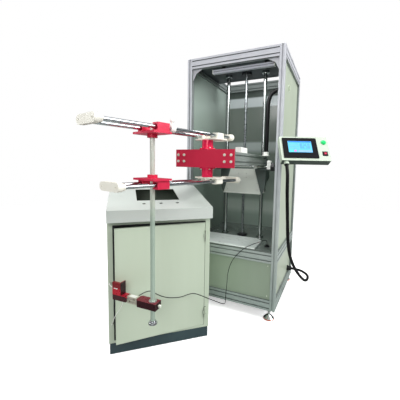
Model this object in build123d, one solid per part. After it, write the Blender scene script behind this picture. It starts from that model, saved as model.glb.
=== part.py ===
from build123d import *
import math
import os

os.makedirs("parts", exist_ok=True)

# Drawer fatigue tester, in millimetres, +Z up.
# A tall cabinet of slotted aluminium profile lifts a carriage on two guide rods and a screw.
# Two square beams on the carriage feed a cross plate forward, and the plate carries two
# swinging twin-rod arms. A drop rod hangs in the arms' sliders and holds the pulling gripper.
# The console with the open door stands in front, at an angle.
# Until the last lines X runs right, Y runs into the cabinet and the corner between its left
# side, its front and the floor is zero. At the end the origin moves to the middle of the base.

# Fits
running_clearance = 0.05
sliding_gap = 0.3
rest_gap = 0.5

# Slotted profile
profile = 40.0
profile_corner = 1.5
slot_opening = 8.2
slot_lip = 4.5
slot_cavity = 20.0
slot_shoulder = 2.0
slot_floor = 9.0
slot_depth = 12.0
post_cap = 3.0

# Tall cabinet
cabinet_width = 770.0
cabinet_depth = 810.0
cabinet_height = 2000.0
foot_height = 68.0
shelf_beam_bottom = 435.0
panel_thickness = 5.0
gusset_side = 90.0
gusset_waist = 0.35

# Feet
foot_inset = 45.0
foot_diameter = 80.0
foot_pad_height = 9.0
foot_cone_height = 24.0
foot_stem_diameter = 16.0
foot_nut_width = 24.0
foot_nut_height = 10.0

# Shelf and top
shelf_thickness = 12.0
shelf_front = 2.0
cover_thickness = 8.0
cover_left = 45.0
cover_width = 555.0
cover_depth = 278.0
cover_chamfer = 60.0
top_plate_thickness = 12.0
top_plate_depth = 496.0
top_plate_drop = 47.0
lamp_left = 200.0
lamp_length = 490.0
lamp_front = 42.0
lamp_depth = 38.0
lamp_drop = 38.0
lamp_height = 38.0
lamp_cap = 6.0
lamp_bracket_width = 30.0
lamp_bracket_thickness = 4.0

# Lift
rod_spacing = 330.0
drive_y = 350.0
guide_rod_diameter = 30.0
rod_flange_diameter = 60.0
rod_flange_height = 20.0
screw_diameter = 25.0
screw_flange_diameter = 90.0
screw_flange_height = 18.0
screw_hole_diameter = 46.0
coupling_diameter = 40.0
coupling_height = 46.0
motor_side = 86.0
motor_length = 120.0
motor_shaft_diameter = 14.0
electrics_left = 80.0
electrics_width = 480.0
electrics_bottom = 150.0
electrics_height = 280.0
electrics_thickness = 5.0
electrics_inset = 30.0
supply_width = 150.0
supply_height = 100.0
supply_depth = 50.0
drive_gap = 40.0
drive_width = 100.0
drive_height = 150.0
drive_depth = 80.0
rail_rise = 57.5
rail_height = 35.0
rail_depth = 8.0
module_count = 6
module_pitch = 36.0
module_width = 32.0
module_depth = 47.0
module_height = 65.0
bell_side = 104.0
bell_wall = 8.0
bell_height = 100.0
bell_flange_side = 130.0
bell_flange_thickness = 10.0

# Carriage
plate_thickness = 8.0
wall_front = 308.0
wall_half_width = 205.0
wall_foot_half_width = 180.0
wall_bottom = 915.0
wall_knee = 990.0
wall_side_depth = 134.0
trapezoid_half_bottom = 172.0
trapezoid_half_top = 108.0
trapezoid_top = 1133.0
trapezoid_lip = 10.0
lip_height = 6.0
carriage_hole_diameter = 6.6
carriage_hole_across = 74.0
carriage_hole_height = 36.0
carriage_hole_middle = 1074.0
side_hole_across = 274.0
side_hole_height = 55.0
side_hole_middle = 978.5
bearing_block_width = 60.0
bearing_block_depth = 68.0
bearing_block_bottom = 930.0
bearing_block_height = 190.0
bearing_seal_diameter = 44.0
bearing_seal_height = 6.0
nut_diameter = 56.0
nut_height = 60.0
nut_bottom = 1000.0
nut_arm_width = 50.0
ledge_thickness = 8.0
ledge_reach = 83.0
ledge_inner = 175.0

# Feed
beam_side = 80.0
beam_spacing = 320.0
beam_bottom = 1163.0
beam_front = -431.5
beam_cavity = 40.6
ram_wall = 4.0
ram_rear = 200.0
ram_flange_side = 76.0
ram_flange_thickness = 8.0
front_plate_width = 400.0
front_plate_height = 111.0
front_plate_thickness = 10.0
cross_block_width = 100.0
cross_block_depth = 90.0
cross_block_height = 112.0
post_back = 44.0
shaft_diameter = 14.0
shaft_y = 255.0
shaft_z = 1152.0
pinion_housing_width = 25.0
pinion_housing_depth = 30.0
pinion_housing_height = 25.0
shaft_bearing_width = 32.0
shaft_bearing_depth = 34.0
shaft_bearing_height = 70.0
shaft_bearing_gap = 30.0
feed_motor_side = 57.0
feed_motor_length = 70.0
handwheel_diameter = 75.0
handwheel_width = 27.0
handwheel_lobes = 6
handwheel_lobe_radius = 9.0
stop_block_width = 40.0
stop_block_length = 130.0
stop_block_height = 38.0
stop_block_front = -270.0
stop_plug_diameter = 18.0
stop_plug_length = 16.0
gland_tab_width = 50.0
gland_tab_depth = 50.0
gland_tab_thickness = 6.0
gland_height = 26.0
gland_x = 590.0
gland_y = 303.0

# Bolts of the front plate and the post flanges
plate_bolt_diameter = 8.0
plate_bolt_head = 16.0
plate_bolt_head_height = 7.0
plate_bolt_across = 42.0
plate_bolt_height = 40.0
flange_screw_diameter = 6.0
flange_screw_head = 10.0
flange_screw_head_height = 5.0
flange_screw_circle = 84.0
flange_screw_count = 4

# Swinging arms
arm_post_diameter = 70.0
arm_flange_diameter = 100.0
arm_flange_thickness = 8.0
upper_post_height = 60.0
lower_post_height = 61.0
pivot_diameter = 20.0
pivot_depth = 40.0
pivot_washer_diameter = 44.0
pivot_washer_thickness = 3.0
pivot_nut_width = 30.0
pivot_nut_height = 16.0
pivot_dome_radius = 13.0
arm_angle = -104.2
arm_rod_diameter = 20.0
arm_rod_spacing = 120.0
upper_arm_front = 769.0
upper_arm_rear = 174.0
lower_arm_front = 672.0
lower_arm_rear = 264.0
hub_plate_length = 110.0
hub_plate_width = 180.0
hub_plate_thickness = 8.0
hub_plate_front = 25.0
arm_clamp_length = 62.0
arm_clamp_front = 2.0
arm_clamp_width = 40.0
arm_clamp_height = 34.0
end_block_width = 162.0
end_block_height = 42.0
end_block_thickness = 24.0
end_block_screw_hole = 9.0
end_block_socket = 12.0
end_collar_diameter = 34.0
end_collar_length = 14.0
slider_front = 462.0
slider_length = 75.0
slider_block_width = 40.0
slider_block_height = 42.0
slider_plate_rear = 375.0
slider_plate_length = 115.0
slider_plate_width = 180.0
slider_plate_thickness = 10.0
slider_mouth_diameter = 28.0
slider_mouth_depth = 6.0
slider_mouth_wall = 3.0
slider_hub_diameter = 52.0
slider_hub_height = 18.0
stop_collar_rear = 340.0
stop_collar_length = 30.0
stop_collar_diameter = 36.0
stop_knob_diameter = 22.0
stop_stem_diameter = 8.0
stop_stem_depth = 6.0
stop_stem_height = 14.0

# Drop rod and gripper
drop_reach = 432.0
drop_diameter = 25.0
drop_bottom = 305.0
drop_top = 1390.0
drop_foot_diameter = 50.0
drop_foot_height = 8.0
drop_boss_diameter = 34.0
drop_boss_height = 12.0
gripper_angle = 183.5
clamp_middle = 413.0
clamp_length = 127.0
clamp_width = 55.0
clamp_height = 38.0
clamp_end = 34.0
clamp_chamfer = 10.0
bush_diameter = 34.0
bush_rim_diameter = 42.0
bush_rim_height = 4.0
clamp_screw_diameter = 8.0
clamp_screw_depth = 12.0
clamp_screw_head = 18.0
clamp_screw_head_length = 12.0
clamp_screw_neck = 4.0
cell_length = 66.0
cell_width = 30.0
cell_slot = 3.0
cell_slot_inset = 12.0
cell_eye_diameter = 12.0
gripper_length = 95.0
gripper_width = 44.0
gripper_height = 30.0
gripper_drop = 4.0
gripper_slot_width = 9.0
gripper_slot_length = 40.0
gripper_screw_head = 9.0
gripper_screw_height = 4.0
gripper_screw_across = 24.0
gripper_screw_reach = 10.0
jaw_length = 57.0
jaw_thickness = 12.0
jaw_height = 72.0
jaw_web = 10.0

# Operator box
box_stand_out = 162.0
box_stand_forward = 67.0
box_middle_height = 1281.0
box_yaw = 25.3
box_tilt = 33.0
box_width = 316.0
box_height = 190.0
box_depth = 48.0
box_corner = 4.0
box_wall = 2.0
bezel_width = 226.0
bezel_height = 160.0
bezel_thickness = 5.0
bezel_lap = 20.0
bezel_offset = -30.0
bezel_rise = 3.0
screen_width = 156.0
screen_height = 90.0
screen_recess = 1.0
screen_rise = 8.0
button_across = 132.0
button_rise = 51.0
button_diameter = 22.0
button_proud = 7.0
button_depth = 20.0
switch_across = 128.0
switch_rise = -39.5
switch_side = 30.0
switch_rim = 3.0
switch_proud = 5.0
pin_stand_off = 25.0
tilt_barrel_length = 40.0
tilt_barrel_diameter = 28.0
tilt_pin_diameter = 12.0
tilt_ear_thickness = 8.0
tilt_ear_width = 36.0
swivel_stand_off = 30.0
swivel_hub_diameter = 36.0
swivel_hub_height = 32.0
swivel_pin_diameter = 16.0
swivel_lug_thickness = 12.0
bracket_plate_thickness = 8.0
bracket_plate_width = 36.0
bracket_plate_height = 100.0
swivel_bar_width = 20.0
swivel_bar_height = 26.0
swivel_elbow = 62.0
box_gland_across = -125.0
box_gland_diameter = 34.0
box_gland_height = 18.0

# Console
console_corner = (-55.0, -807.0)
console_angle = 43.5
console_width = 629.0
console_depth = 450.0
console_plinth_height = 72.0
console_plinth_inset = 4.0
console_body_top = 826.0
console_wall = 3.0
console_fold = 20.0
console_overhang = 52.0
console_lip_height = 70.0
console_rise = 97.0
door_left = 38.0
door_right = 598.0
door_bottom = 89.0
door_top = 792.0
door_gap = 2.0
door_fold = 20.0
door_sheet = 2.0
door_open = 5.2
hinge_stand_off = 5.0
hinge_barrel_diameter = 10.0
hinge_pin_diameter = 5.0
hinge_knuckle = 24.0
hinge_inset = 90.0
display_left = 173.0
display_width = 273.0
display_foot = 166.0
display_length = 246.0
button_hole_diameter = 22.3
button_hole_first = 213.0
button_hole_pitch = 104.0
button_hole_foot = 106.0
eye_diameter = 8.0
eye_length = 10.0
upper_eye = (14.0, 456.0)
lower_eye = (24.0, 200.0)

# Grommets and glands of the tall cabinet
grommet_x = 669.0
grommet_y = 117.0
grommet_diameter = 40.0
grommet_height = 14.0
side_gland_inset = 162.0
side_gland_z = 180.0
side_gland_diameter = 50.0
side_gland_nut = 42.0
side_gland_thickness = 8.0
side_gland_length = 24.0
hose_gland_length = 40.0
wall_gland_drop = 220.0
wall_gland_y = 300.0
panel_hole_diameter = 36.0
panel_screw_diameter = 10.0
panel_screw_height = 2.5
panel_screw_inset = 26.0

# Cords
sensor_diameter = 5.0
box_hose_diameter = 22.0
carriage_hose_diameter = 34.0
string_diameter = 3.0

# Places that follow from the sizes above
centre_x = cabinet_width / 2
top_plate_bottom = cabinet_height - top_plate_drop
lamp_top = top_plate_bottom - lamp_drop
wall_gland_z = cabinet_height - wall_gland_drop
side_gland_y = cabinet_depth - side_gland_inset
box_centre = (cabinet_width + box_stand_out, -box_stand_forward, box_middle_height)
half_profile = profile / 2
beam_height = 2 * profile
shelf_top = shelf_beam_bottom + beam_height
shaft_reach = beam_spacing / 2 + beam_side / 2 + shaft_bearing_gap + shaft_bearing_width
base_top = shelf_top + shelf_thickness
top_beam_bottom = cabinet_height - beam_height
low_beam_top = foot_height + beam_height
wall_back = wall_front + plate_thickness
beam_middle_z = beam_bottom + beam_side / 2
beam_top = beam_bottom + beam_side
ram_side = beam_cavity - 2 * sliding_gap
ram_flange_front = beam_front - rest_gap - ram_flange_thickness
plate_front = ram_flange_front - front_plate_thickness
post_y = ram_flange_front + post_back
block_top = beam_middle_z + cross_block_height / 2 - 1.0
block_bottom = block_top - cross_block_height
upper_hub_face = block_top + upper_post_height
lower_hub_face = block_bottom - lower_post_height
upper_rod_z = upper_hub_face + sliding_gap + hub_plate_thickness + arm_clamp_height / 2
lower_rod_z = lower_hub_face - sliding_gap - hub_plate_thickness - arm_clamp_height / 2
arm_direction = (math.cos(math.radians(arm_angle)), math.sin(math.radians(arm_angle)))
drop_x = centre_x + drop_reach * arm_direction[0]
drop_y = post_y + drop_reach * arm_direction[1]
clamp_bottom = clamp_middle - clamp_height / 2
clamp_top = clamp_middle + clamp_height / 2
cell_start = clamp_length - clamp_end
gripper_start = cell_start + cell_length
gripper_end = gripper_start + gripper_length
gripper_top = clamp_middle - gripper_drop + gripper_height / 2 + gripper_drop
arm_place = Location((centre_x, post_y, 0), (0, 0, arm_angle))
gripper_place = Location((drop_x, drop_y, 0), (0, 0, gripper_angle))
console_place = Location((console_corner[0], console_corner[1], 0), (0, 0, console_angle))
slope_angle = math.degrees(math.atan2(console_rise, console_depth + console_overhang))
slope_foot_z = console_body_top + console_lip_height


def slab(x0, x1, y0, y1, z0, z1):
    """A rectangular block between two corners."""
    middle = ((x0 + x1) / 2, (y0 + y1) / 2, (z0 + z1) / 2)
    return Pos(*middle) * Box(x1 - x0, y1 - y0, z1 - z0)


def disc(diameter, z0, z1, x=0.0, y=0.0):
    """An upright cylinder between two heights."""
    return Pos(x, y, (z0 + z1) / 2) * Cylinder(diameter / 2, z1 - z0)


def ring(outer, inner, z0, z1, x=0.0, y=0.0):
    """An upright tube between two heights."""
    return disc(outer, z0, z1, x, y) - disc(inner, z0, z1, x, y)


def rod_along_x(diameter, x0, x1, y, z):
    """A round bar that lies along X."""
    return Pos((x0 + x1) / 2, y, z) * Rot(0, 90, 0) * Cylinder(diameter / 2, x1 - x0)


def rod_along_y(diameter, y0, y1, x, z):
    """A round bar that lies along Y."""
    return Pos(x, (y0 + y1) / 2, z) * Rot(90, 0, 0) * Cylinder(diameter / 2, y1 - y0)


def slot_shape():
    """One T-slot, drawn with its mouth on the X axis and its floor at +Y."""
    mouth = slot_opening / 2
    cavity = slot_cavity / 2
    floor = slot_floor / 2
    shoulder = slot_lip + slot_shoulder
    return Polygon(
        (-mouth, -1.0), (mouth, -1.0), (mouth, slot_lip), (cavity, slot_lip), (cavity, shoulder),
        (floor, slot_depth), (-floor, slot_depth), (-cavity, shoulder), (-cavity, slot_lip),
        (-mouth, slot_lip), align=None)


def profile_section(width, height, cavity=0.0):
    """The cross-section of a slotted profile, one slot for each unit of each face."""
    section = RectangleRounded(width, height, profile_corner)
    across = round(width / profile)
    up = round(height / profile)
    for unit in range(across):
        x = (unit + 0.5) * width / across - width / 2
        section -= Pos(x, -height / 2) * slot_shape()
        section -= Pos(x, height / 2) * Rot(0, 0, 180) * slot_shape()
    for unit in range(up):
        y = (unit + 0.5) * height / up - height / 2
        section -= Pos(-width / 2, y) * Rot(0, 0, -90) * slot_shape()
        section -= Pos(width / 2, y) * Rot(0, 0, 90) * slot_shape()
    if cavity > 0:
        section -= Rectangle(cavity, cavity)
    return section


def post(x, y):
    section = Pos(x, y, foot_height) * profile_section(profile, profile)
    return extrude(section, cabinet_height - post_cap - foot_height, dir=(0, 0, 1))


def beam_along_x(y, z0):
    """A front or rear beam between two posts."""
    start = Plane((profile, y, z0 + beam_height / 2), x_dir=(0, 1, 0), z_dir=(1, 0, 0))
    section = start * profile_section(profile, beam_height)
    return extrude(section, cabinet_width - 2 * profile, dir=(1, 0, 0))


def beam_along_y(x, z0):
    """A side beam between two posts."""
    start = Plane((x, profile, z0 + beam_height / 2), x_dir=(1, 0, 0), z_dir=(0, 1, 0))
    section = start * profile_section(profile, beam_height)
    return extrude(section, cabinet_depth - 2 * profile, dir=(0, 1, 0))


def corner_gusset(side):
    """A three-cornered plate in the slots of a front post and the top beam."""
    seat = profile - slot_depth
    x = seat if side < 0 else cabinet_width - seat
    leg = gusset_side + slot_depth
    waist = slot_depth + gusset_side * gusset_waist
    outline = Polygon(
        (0, 0), (-side * leg, 0), (-side * leg, -slot_depth), (-side * waist, -waist),
        (-side * slot_depth, -leg), (0, -leg), align=None)
    plane = Plane((x, half_profile, top_beam_bottom + slot_depth), x_dir=(1, 0, 0),
                  z_dir=(0, -1, 0))
    return extrude(plane * outline, panel_thickness / 2, both=True)


def frame_profiles():
    pieces = []
    for x in (half_profile, cabinet_width - half_profile):
        for y in (half_profile, cabinet_depth - half_profile):
            pieces.append(post(x, y))
            cap = slab(x - half_profile, x + half_profile, y - half_profile, y + half_profile,
                       cabinet_height - post_cap, cabinet_height)
            pieces.append(chamfer(cap.edges().group_by(Axis.Z)[-1], post_cap / 3))
    for z0 in (foot_height, shelf_beam_bottom, top_beam_bottom):
        for y in (half_profile, cabinet_depth - half_profile):
            pieces.append(beam_along_x(y, z0))
        for x in (half_profile, cabinet_width - half_profile):
            pieces.append(beam_along_y(x, z0))
    for side in (-1, 1):
        pieces.append(corner_gusset(side))
    return pieces


def panel_hole(y, z):
    return rod_along_x(panel_hole_diameter, cabinet_width - profile, cabinet_width, y, z)


def side_panels():
    """Four sheets, their edges on the floors of the slots."""
    pieces = []
    half = panel_thickness / 2
    seat = profile - slot_depth
    bays = ((low_beam_top, shelf_beam_bottom), (shelf_top, top_beam_bottom))
    for x in (half_profile, cabinet_width - half_profile):
        for z0, z1 in bays:
            sheet = slab(x - half, x + half, seat, cabinet_depth - seat,
                         z0 - slot_depth, z1 + slot_depth)
            pieces.append(sheet)
    pieces[2] -= panel_hole(side_gland_y, side_gland_z)
    pieces[3] -= panel_hole(wall_gland_y, wall_gland_z)
    return pieces


def panel_across(y, z0, z1):
    half = panel_thickness / 2
    seat = profile - slot_depth
    return slab(seat, cabinet_width - seat, y - half, y + half, z0 - slot_depth, z1 + slot_depth)


def rear_panels():
    y = cabinet_depth - half_profile
    low = panel_across(y, low_beam_top, shelf_beam_bottom)
    high = panel_across(y, shelf_top, top_beam_bottom)
    return [low, high]


def lower_front_panel():
    return [panel_across(half_profile, low_beam_top, shelf_beam_bottom)]


def panel_screws():
    """Button-head screws at the corners of the lower front and right panels."""
    pieces = []
    low = low_beam_top + panel_screw_inset
    high = shelf_beam_bottom - panel_screw_inset
    front = half_profile - panel_thickness / 2
    side = cabinet_width - half_profile + panel_thickness / 2
    near = profile + panel_screw_inset
    for z in (low, high):
        for x in (near, cabinet_width - near):
            head = rod_along_y(panel_screw_diameter, front - panel_screw_height, front, x, z)
            pieces.append(chamfer(head.edges().group_by(Axis.Y)[0], 1.0))
        for y in (near, cabinet_depth - near):
            head = rod_along_x(panel_screw_diameter, side, side + panel_screw_height, y, z)
            pieces.append(chamfer(head.edges().group_by(Axis.X)[-1], 1.0))
    return pieces


def foot_places():
    for x in (foot_inset, cabinet_width - foot_inset):
        for y in (half_profile, cabinet_depth - half_profile):
            yield x, y


def levelling_feet():
    """A chromed cone, its stem up to the beam and the lock nut on the stem."""
    pieces = []
    cone_top = foot_pad_height + foot_cone_height
    for x, y in foot_places():
        cone = Pos(x, y, foot_pad_height + foot_cone_height / 2) * Cone(
            foot_diameter / 2, foot_stem_diameter, foot_cone_height)
        stem = disc(foot_stem_diameter, cone_top, foot_height, x, y)
        nut = extrude(Pos(x, y, foot_height - foot_nut_height) * RegularPolygon(
            foot_nut_width / 2, 6, major_radius=False), foot_nut_height)
        pieces.append(cone + stem + nut)
    return pieces


def foot_pads():
    pads = [disc(foot_diameter, 0, foot_pad_height, x, y) for x, y in foot_places()]
    return [chamfer(pad.edges().group_by(Axis.Z)[0], 1.5) for pad in pads]


def shelf_base_plate():
    """The steel plate that carries the lift, notched round the posts."""
    side = half_profile + panel_thickness / 2 + rest_gap * 6
    back = cabinet_depth - side
    plate = slab(side, cabinet_width - side, shelf_front, back, shelf_top, base_top)
    notch = profile + rest_gap
    for x in (0, cabinet_width):
        for y in (0, cabinet_depth):
            plate -= slab(x - notch, x + notch, y - notch, y + notch, shelf_top, base_top)
    plate -= disc(screw_hole_diameter, shelf_top, base_top, centre_x, drive_y)
    plate -= disc(panel_hole_diameter, shelf_top, base_top, grommet_x, grommet_y)
    return [plate]


def shelf_cover_plate():
    """The thin bright cover at the front of the shelf, one rear corner cut off."""
    right = cover_left + cover_width
    back = shelf_front + cover_depth
    plate = slab(cover_left, right, shelf_front, back, base_top, base_top + cover_thickness)
    corner = plate.edges().filter_by(Axis.Z).sort_by(lambda edge: edge.center().X + edge.center().Y)[-1]
    plate = chamfer(corner, cover_chamfer)
    front_edge = plate.edges().filter_by(Axis.X).group_by(Axis.Y)[0].sort_by(Axis.Z)[-1]
    return [fillet(front_edge, cover_thickness * 0.6)]


def top_plate():
    plate = slab(profile, cabinet_width - profile, profile, profile + top_plate_depth,
                 top_plate_bottom, top_plate_bottom + top_plate_thickness)
    return [plate]


def lamp_bar():
    """A lamp under the top plate: aluminium back, white lens, two end caps, two hangers."""
    back = lamp_front + lamp_depth
    bottom = lamp_top - lamp_height
    left = lamp_left + lamp_cap
    right = lamp_left + lamp_length - lamp_cap
    back_height = lamp_height * 0.55
    housing = slab(left, right, lamp_front, back, lamp_top - back_height, lamp_top)
    side = Plane((left, 0, 0), x_dir=(0, 1, 0), z_dir=(1, 0, 0))
    inset = lamp_cap
    lens_outline = Polygon(
        (lamp_front + inset, bottom), (back - inset, bottom),
        (back - 1, lamp_top - back_height), (lamp_front + 1, lamp_top - back_height), align=None)
    lens = extrude(side * lens_outline, right - left)
    pieces = [housing, lens]
    for x0 in (lamp_left, right):
        cap = slab(x0, x0 + lamp_cap, lamp_front, back, bottom, lamp_top)
        pieces.append(chamfer(cap.edges().filter_by(Axis.X).group_by(Axis.Z)[0], 5.0))
    for x in (lamp_left + lamp_length * 0.15, lamp_left + lamp_length * 0.85):
        pieces.append(slab(x, x + lamp_bracket_width, lamp_front + lamp_depth / 2,
                           lamp_front + lamp_depth / 2 + lamp_bracket_thickness,
                           lamp_top, top_plate_bottom))
    return pieces


def rod_places():
    return (centre_x - rod_spacing / 2, centre_x + rod_spacing / 2)


def guide_rods():
    """Two ground rods between shelf and top plate, each in two clamping flanges."""
    pieces = []
    for x in rod_places():
        pieces.append(disc(guide_rod_diameter, base_top, top_plate_bottom, x, drive_y))
        for z0 in (base_top, top_plate_bottom - rod_flange_height):
            pieces.append(ring(rod_flange_diameter, guide_rod_diameter, z0,
                               z0 + rod_flange_height, x, drive_y))
    return pieces


def screw_bearings():
    """Flange bearings at both ends of the lead screw."""
    bore = screw_diameter + 2 * running_clearance
    low = ring(screw_flange_diameter, bore, base_top, base_top + screw_flange_height,
               centre_x, drive_y)
    high = ring(screw_flange_diameter, bore, top_plate_bottom - screw_flange_height,
                top_plate_bottom, centre_x, drive_y)
    low = chamfer(low.edges().group_by(Axis.Z)[-1].sort_by(SortBy.LENGTH)[-1], 4.0)
    return [low, high]


def lead_screw():
    """The screw with its coupling and the motor shaft below."""
    motor_top = shelf_top - bell_height
    coupling_bottom = motor_top + (bell_height - coupling_height) / 2
    coupling_top = coupling_bottom + coupling_height
    screw = disc(screw_diameter, coupling_top, top_plate_bottom - rest_gap, centre_x, drive_y)
    coupling = disc(coupling_diameter, coupling_bottom, coupling_top, centre_x, drive_y)
    coupling = chamfer(coupling.edges().filter_by(GeomType.CIRCLE), 2.0)
    shaft = disc(motor_shaft_diameter, motor_top + sliding_gap, coupling_bottom,
                 centre_x, drive_y)
    return [screw, coupling, shaft]


def lift_motor():
    """The motor hangs under the shelf on an open bell."""
    motor_top = shelf_top - bell_height
    inner = bell_side - 2 * bell_wall
    bell = Pos(centre_x, drive_y, motor_top) * extrude(
        RectangleRounded(bell_side, bell_side, 8) - RectangleRounded(inner, inner, 4),
        bell_height)
    window = slab(centre_x - bell_side, centre_x + bell_side, drive_y - inner / 3,
                  drive_y + inner / 3, motor_top + 12, shelf_top - 2 * bell_flange_thickness)
    flange = Pos(centre_x, drive_y, shelf_top - bell_flange_thickness) * extrude(
        RectangleRounded(bell_flange_side, bell_flange_side, 10), bell_flange_thickness)
    flange -= disc(inner, shelf_top - bell_flange_thickness, shelf_top, centre_x, drive_y)
    motor = Pos(centre_x, drive_y, motor_top - motor_length) * extrude(
        RectangleRounded(motor_side, motor_side, 10), motor_length)
    ledge = Pos(centre_x, drive_y, motor_top - 8) * extrude(
        RectangleRounded(bell_side, bell_side, 8), 8)
    return [bell - window + flange, motor + ledge]


def electrics_plate():
    """The mounting plate inside the foot of the back, with supply, drive and terminals."""
    y0 = cabinet_depth - half_profile - panel_thickness / 2 - electrics_thickness
    left = electrics_left
    bottom = electrics_bottom
    inset = electrics_inset
    top = bottom + electrics_height
    plate = slab(left, left + electrics_width, y0, y0 + electrics_thickness, bottom, top)
    supply_left = left + inset
    supply = slab(supply_left, supply_left + supply_width, y0 - supply_depth, y0,
                  top - inset - supply_height, top - inset)
    drive_left = supply_left + supply_width + drive_gap
    drive = slab(drive_left, drive_left + drive_width, y0 - drive_depth, y0,
                 top - inset - drive_height, top - inset)
    rail_z = bottom + rail_rise
    rail = slab(supply_left, left + electrics_width - inset, y0 - rail_depth, y0,
                rail_z - rail_height / 2, rail_z + rail_height / 2)
    modules = []
    for index in range(module_count):
        x = supply_left + module_pitch * (index + 0.5)
        modules.append(slab(x, x + module_width, y0 - rail_depth - module_depth, y0 - rail_depth,
                            rail_z - module_height / 2, rail_z + module_height / 2))
    return [plate, supply, drive, rail] + modules


def gland_revolved(outer, nut, hose, flange, length, through):
    """A hose gland about Z: nut below zero, flange and dome above."""
    body = disc(outer, 0, flange) + disc(nut, flange, length)
    body = chamfer(body.edges().group_by(Axis.Z)[-1], 3.0)
    body += disc(panel_hole_diameter, -through, 0)
    body += disc(nut, -through - flange, -through)
    return body


def cable_glands():
    """Glands of the two hoses in the right side, and the grommet in the shelf."""
    outside = cabinet_width - half_profile + panel_thickness / 2
    inside = cabinet_width - half_profile - panel_thickness / 2
    side = gland_revolved(side_gland_diameter, side_gland_nut, box_hose_diameter,
                          side_gland_thickness, hose_gland_length, panel_thickness)
    side = Pos(outside, side_gland_y, side_gland_z) * Rot(0, 90, 0) * side
    wall = gland_revolved(side_gland_diameter, side_gland_nut, carriage_hose_diameter,
                          side_gland_thickness, side_gland_length, panel_thickness)
    wall = Pos(inside, wall_gland_y, wall_gland_z) * Rot(0, -90, 0) * wall
    grommet = disc(grommet_diameter, base_top, base_top + grommet_height / 2,
                   grommet_x, grommet_y)
    grommet += disc(grommet_diameter * 0.6, base_top, base_top + grommet_height,
                    grommet_x, grommet_y)
    grommet += disc(panel_hole_diameter, shelf_top, base_top, grommet_x, grommet_y)
    return [side, wall, grommet]


def carriage_plate():
    """The light trapezoid in front of the carriage, with its small bottom lip."""
    outline = Polygon(
        (-trapezoid_half_bottom, wall_bottom), (trapezoid_half_bottom, wall_bottom),
        (trapezoid_half_top, trapezoid_top), (-trapezoid_half_top, trapezoid_top), align=None)
    plane = Plane((centre_x, wall_front, 0), x_dir=(1, 0, 0), z_dir=(0, -1, 0))
    plate = extrude(plane * outline, plate_thickness)
    front = wall_front - plate_thickness
    plate += slab(centre_x - trapezoid_half_bottom, centre_x + trapezoid_half_bottom,
                  front - trapezoid_lip, front, wall_bottom, wall_bottom + lip_height)
    for across, height, middle in (
            (carriage_hole_across, carriage_hole_height, carriage_hole_middle),
            (side_hole_across, side_hole_height, side_hole_middle)):
        for x in (centre_x - across / 2, centre_x + across / 2):
            for z in (middle - height / 2, middle + height / 2):
                plate -= rod_along_y(carriage_hole_diameter, front, wall_front, x, z)
    return [plate]


def carriage_body():
    """The welded steel body: front wall, two side walls and the two shaft ledges."""
    outline = Polygon(
        (-wall_foot_half_width, wall_bottom), (wall_foot_half_width, wall_bottom),
        (wall_half_width, wall_knee), (wall_half_width, beam_top),
        (-wall_half_width, beam_top), (-wall_half_width, wall_knee), align=None)
    plane = Plane((centre_x, wall_back, 0), x_dir=(1, 0, 0), z_dir=(0, -1, 0))
    body = extrude(plane * outline, plate_thickness)
    back = wall_back + wall_side_depth
    side_outline = Polygon(
        (wall_back, wall_knee), (back, wall_knee + wall_side_depth / 2),
        (back, beam_top - wall_side_depth / 2), (wall_back, beam_top), align=None)
    for side in (-1, 1):
        x0 = centre_x + side * wall_half_width
        start = Plane((x0, 0, 0), x_dir=(0, 1, 0), z_dir=(1, 0, 0))
        body += extrude(start * side_outline, -side * plate_thickness)
        ledge_top = trapezoid_top
        inner = centre_x + side * ledge_inner
        outer = centre_x + side * shaft_reach
        body += slab(min(inner, outer), max(inner, outer), wall_front - ledge_reach,
                     wall_front, ledge_top - ledge_thickness, ledge_top)
    return [body]


def lift_bearings():
    """Linear bearing housings round the guide rods and the nut on the screw."""
    pieces = []
    top = bearing_block_bottom + bearing_block_height
    half = bearing_block_depth / 2
    bore = guide_rod_diameter + 2 * running_clearance
    for x in rod_places():
        block = slab(x - bearing_block_width / 2, x + bearing_block_width / 2,
                     wall_back, drive_y + half, bearing_block_bottom, top)
        block = fillet(block.edges().filter_by(Axis.Z).group_by(Axis.Y)[-1], 6.0)
        block += disc(bearing_seal_diameter, top, top + bearing_seal_height, x, drive_y)
        block += disc(bearing_seal_diameter, bearing_block_bottom - bearing_seal_height,
                      bearing_block_bottom, x, drive_y)
        block -= disc(bore, bearing_block_bottom - bearing_seal_height,
                      top + bearing_seal_height, x, drive_y)
        pieces.append(block)
    nut = disc(nut_diameter, nut_bottom, nut_bottom + nut_height, centre_x, drive_y)
    nut += slab(centre_x - nut_arm_width / 2, centre_x + nut_arm_width / 2, wall_back,
                drive_y, nut_bottom + 10, nut_bottom + nut_height - 10)
    nut -= disc(screw_diameter + 2 * running_clearance, nut_bottom, nut_bottom + nut_height,
                centre_x, drive_y)
    pieces.append(nut)
    return pieces


def beam_places():
    return (centre_x - beam_spacing / 2, centre_x + beam_spacing / 2)


def feed_beams():
    """Two square slotted profiles with a square bore, bolted to the carriage wall."""
    pieces = []
    for x in beam_places():
        start = Plane((x, beam_front, beam_middle_z), x_dir=(1, 0, 0), z_dir=(0, 1, 0))
        section = start * profile_section(beam_side, beam_side, beam_cavity)
        pieces.append(extrude(section, wall_front - beam_front, dir=(0, 1, 0)))
    return pieces


def shaft_bearing_places():
    """Inner and outer X of the bearing block on each side."""
    for side in (-1, 1):
        inner = centre_x + side * (beam_spacing / 2 + beam_side / 2 + shaft_bearing_gap)
        yield side, inner, inner + side * shaft_bearing_width


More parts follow.
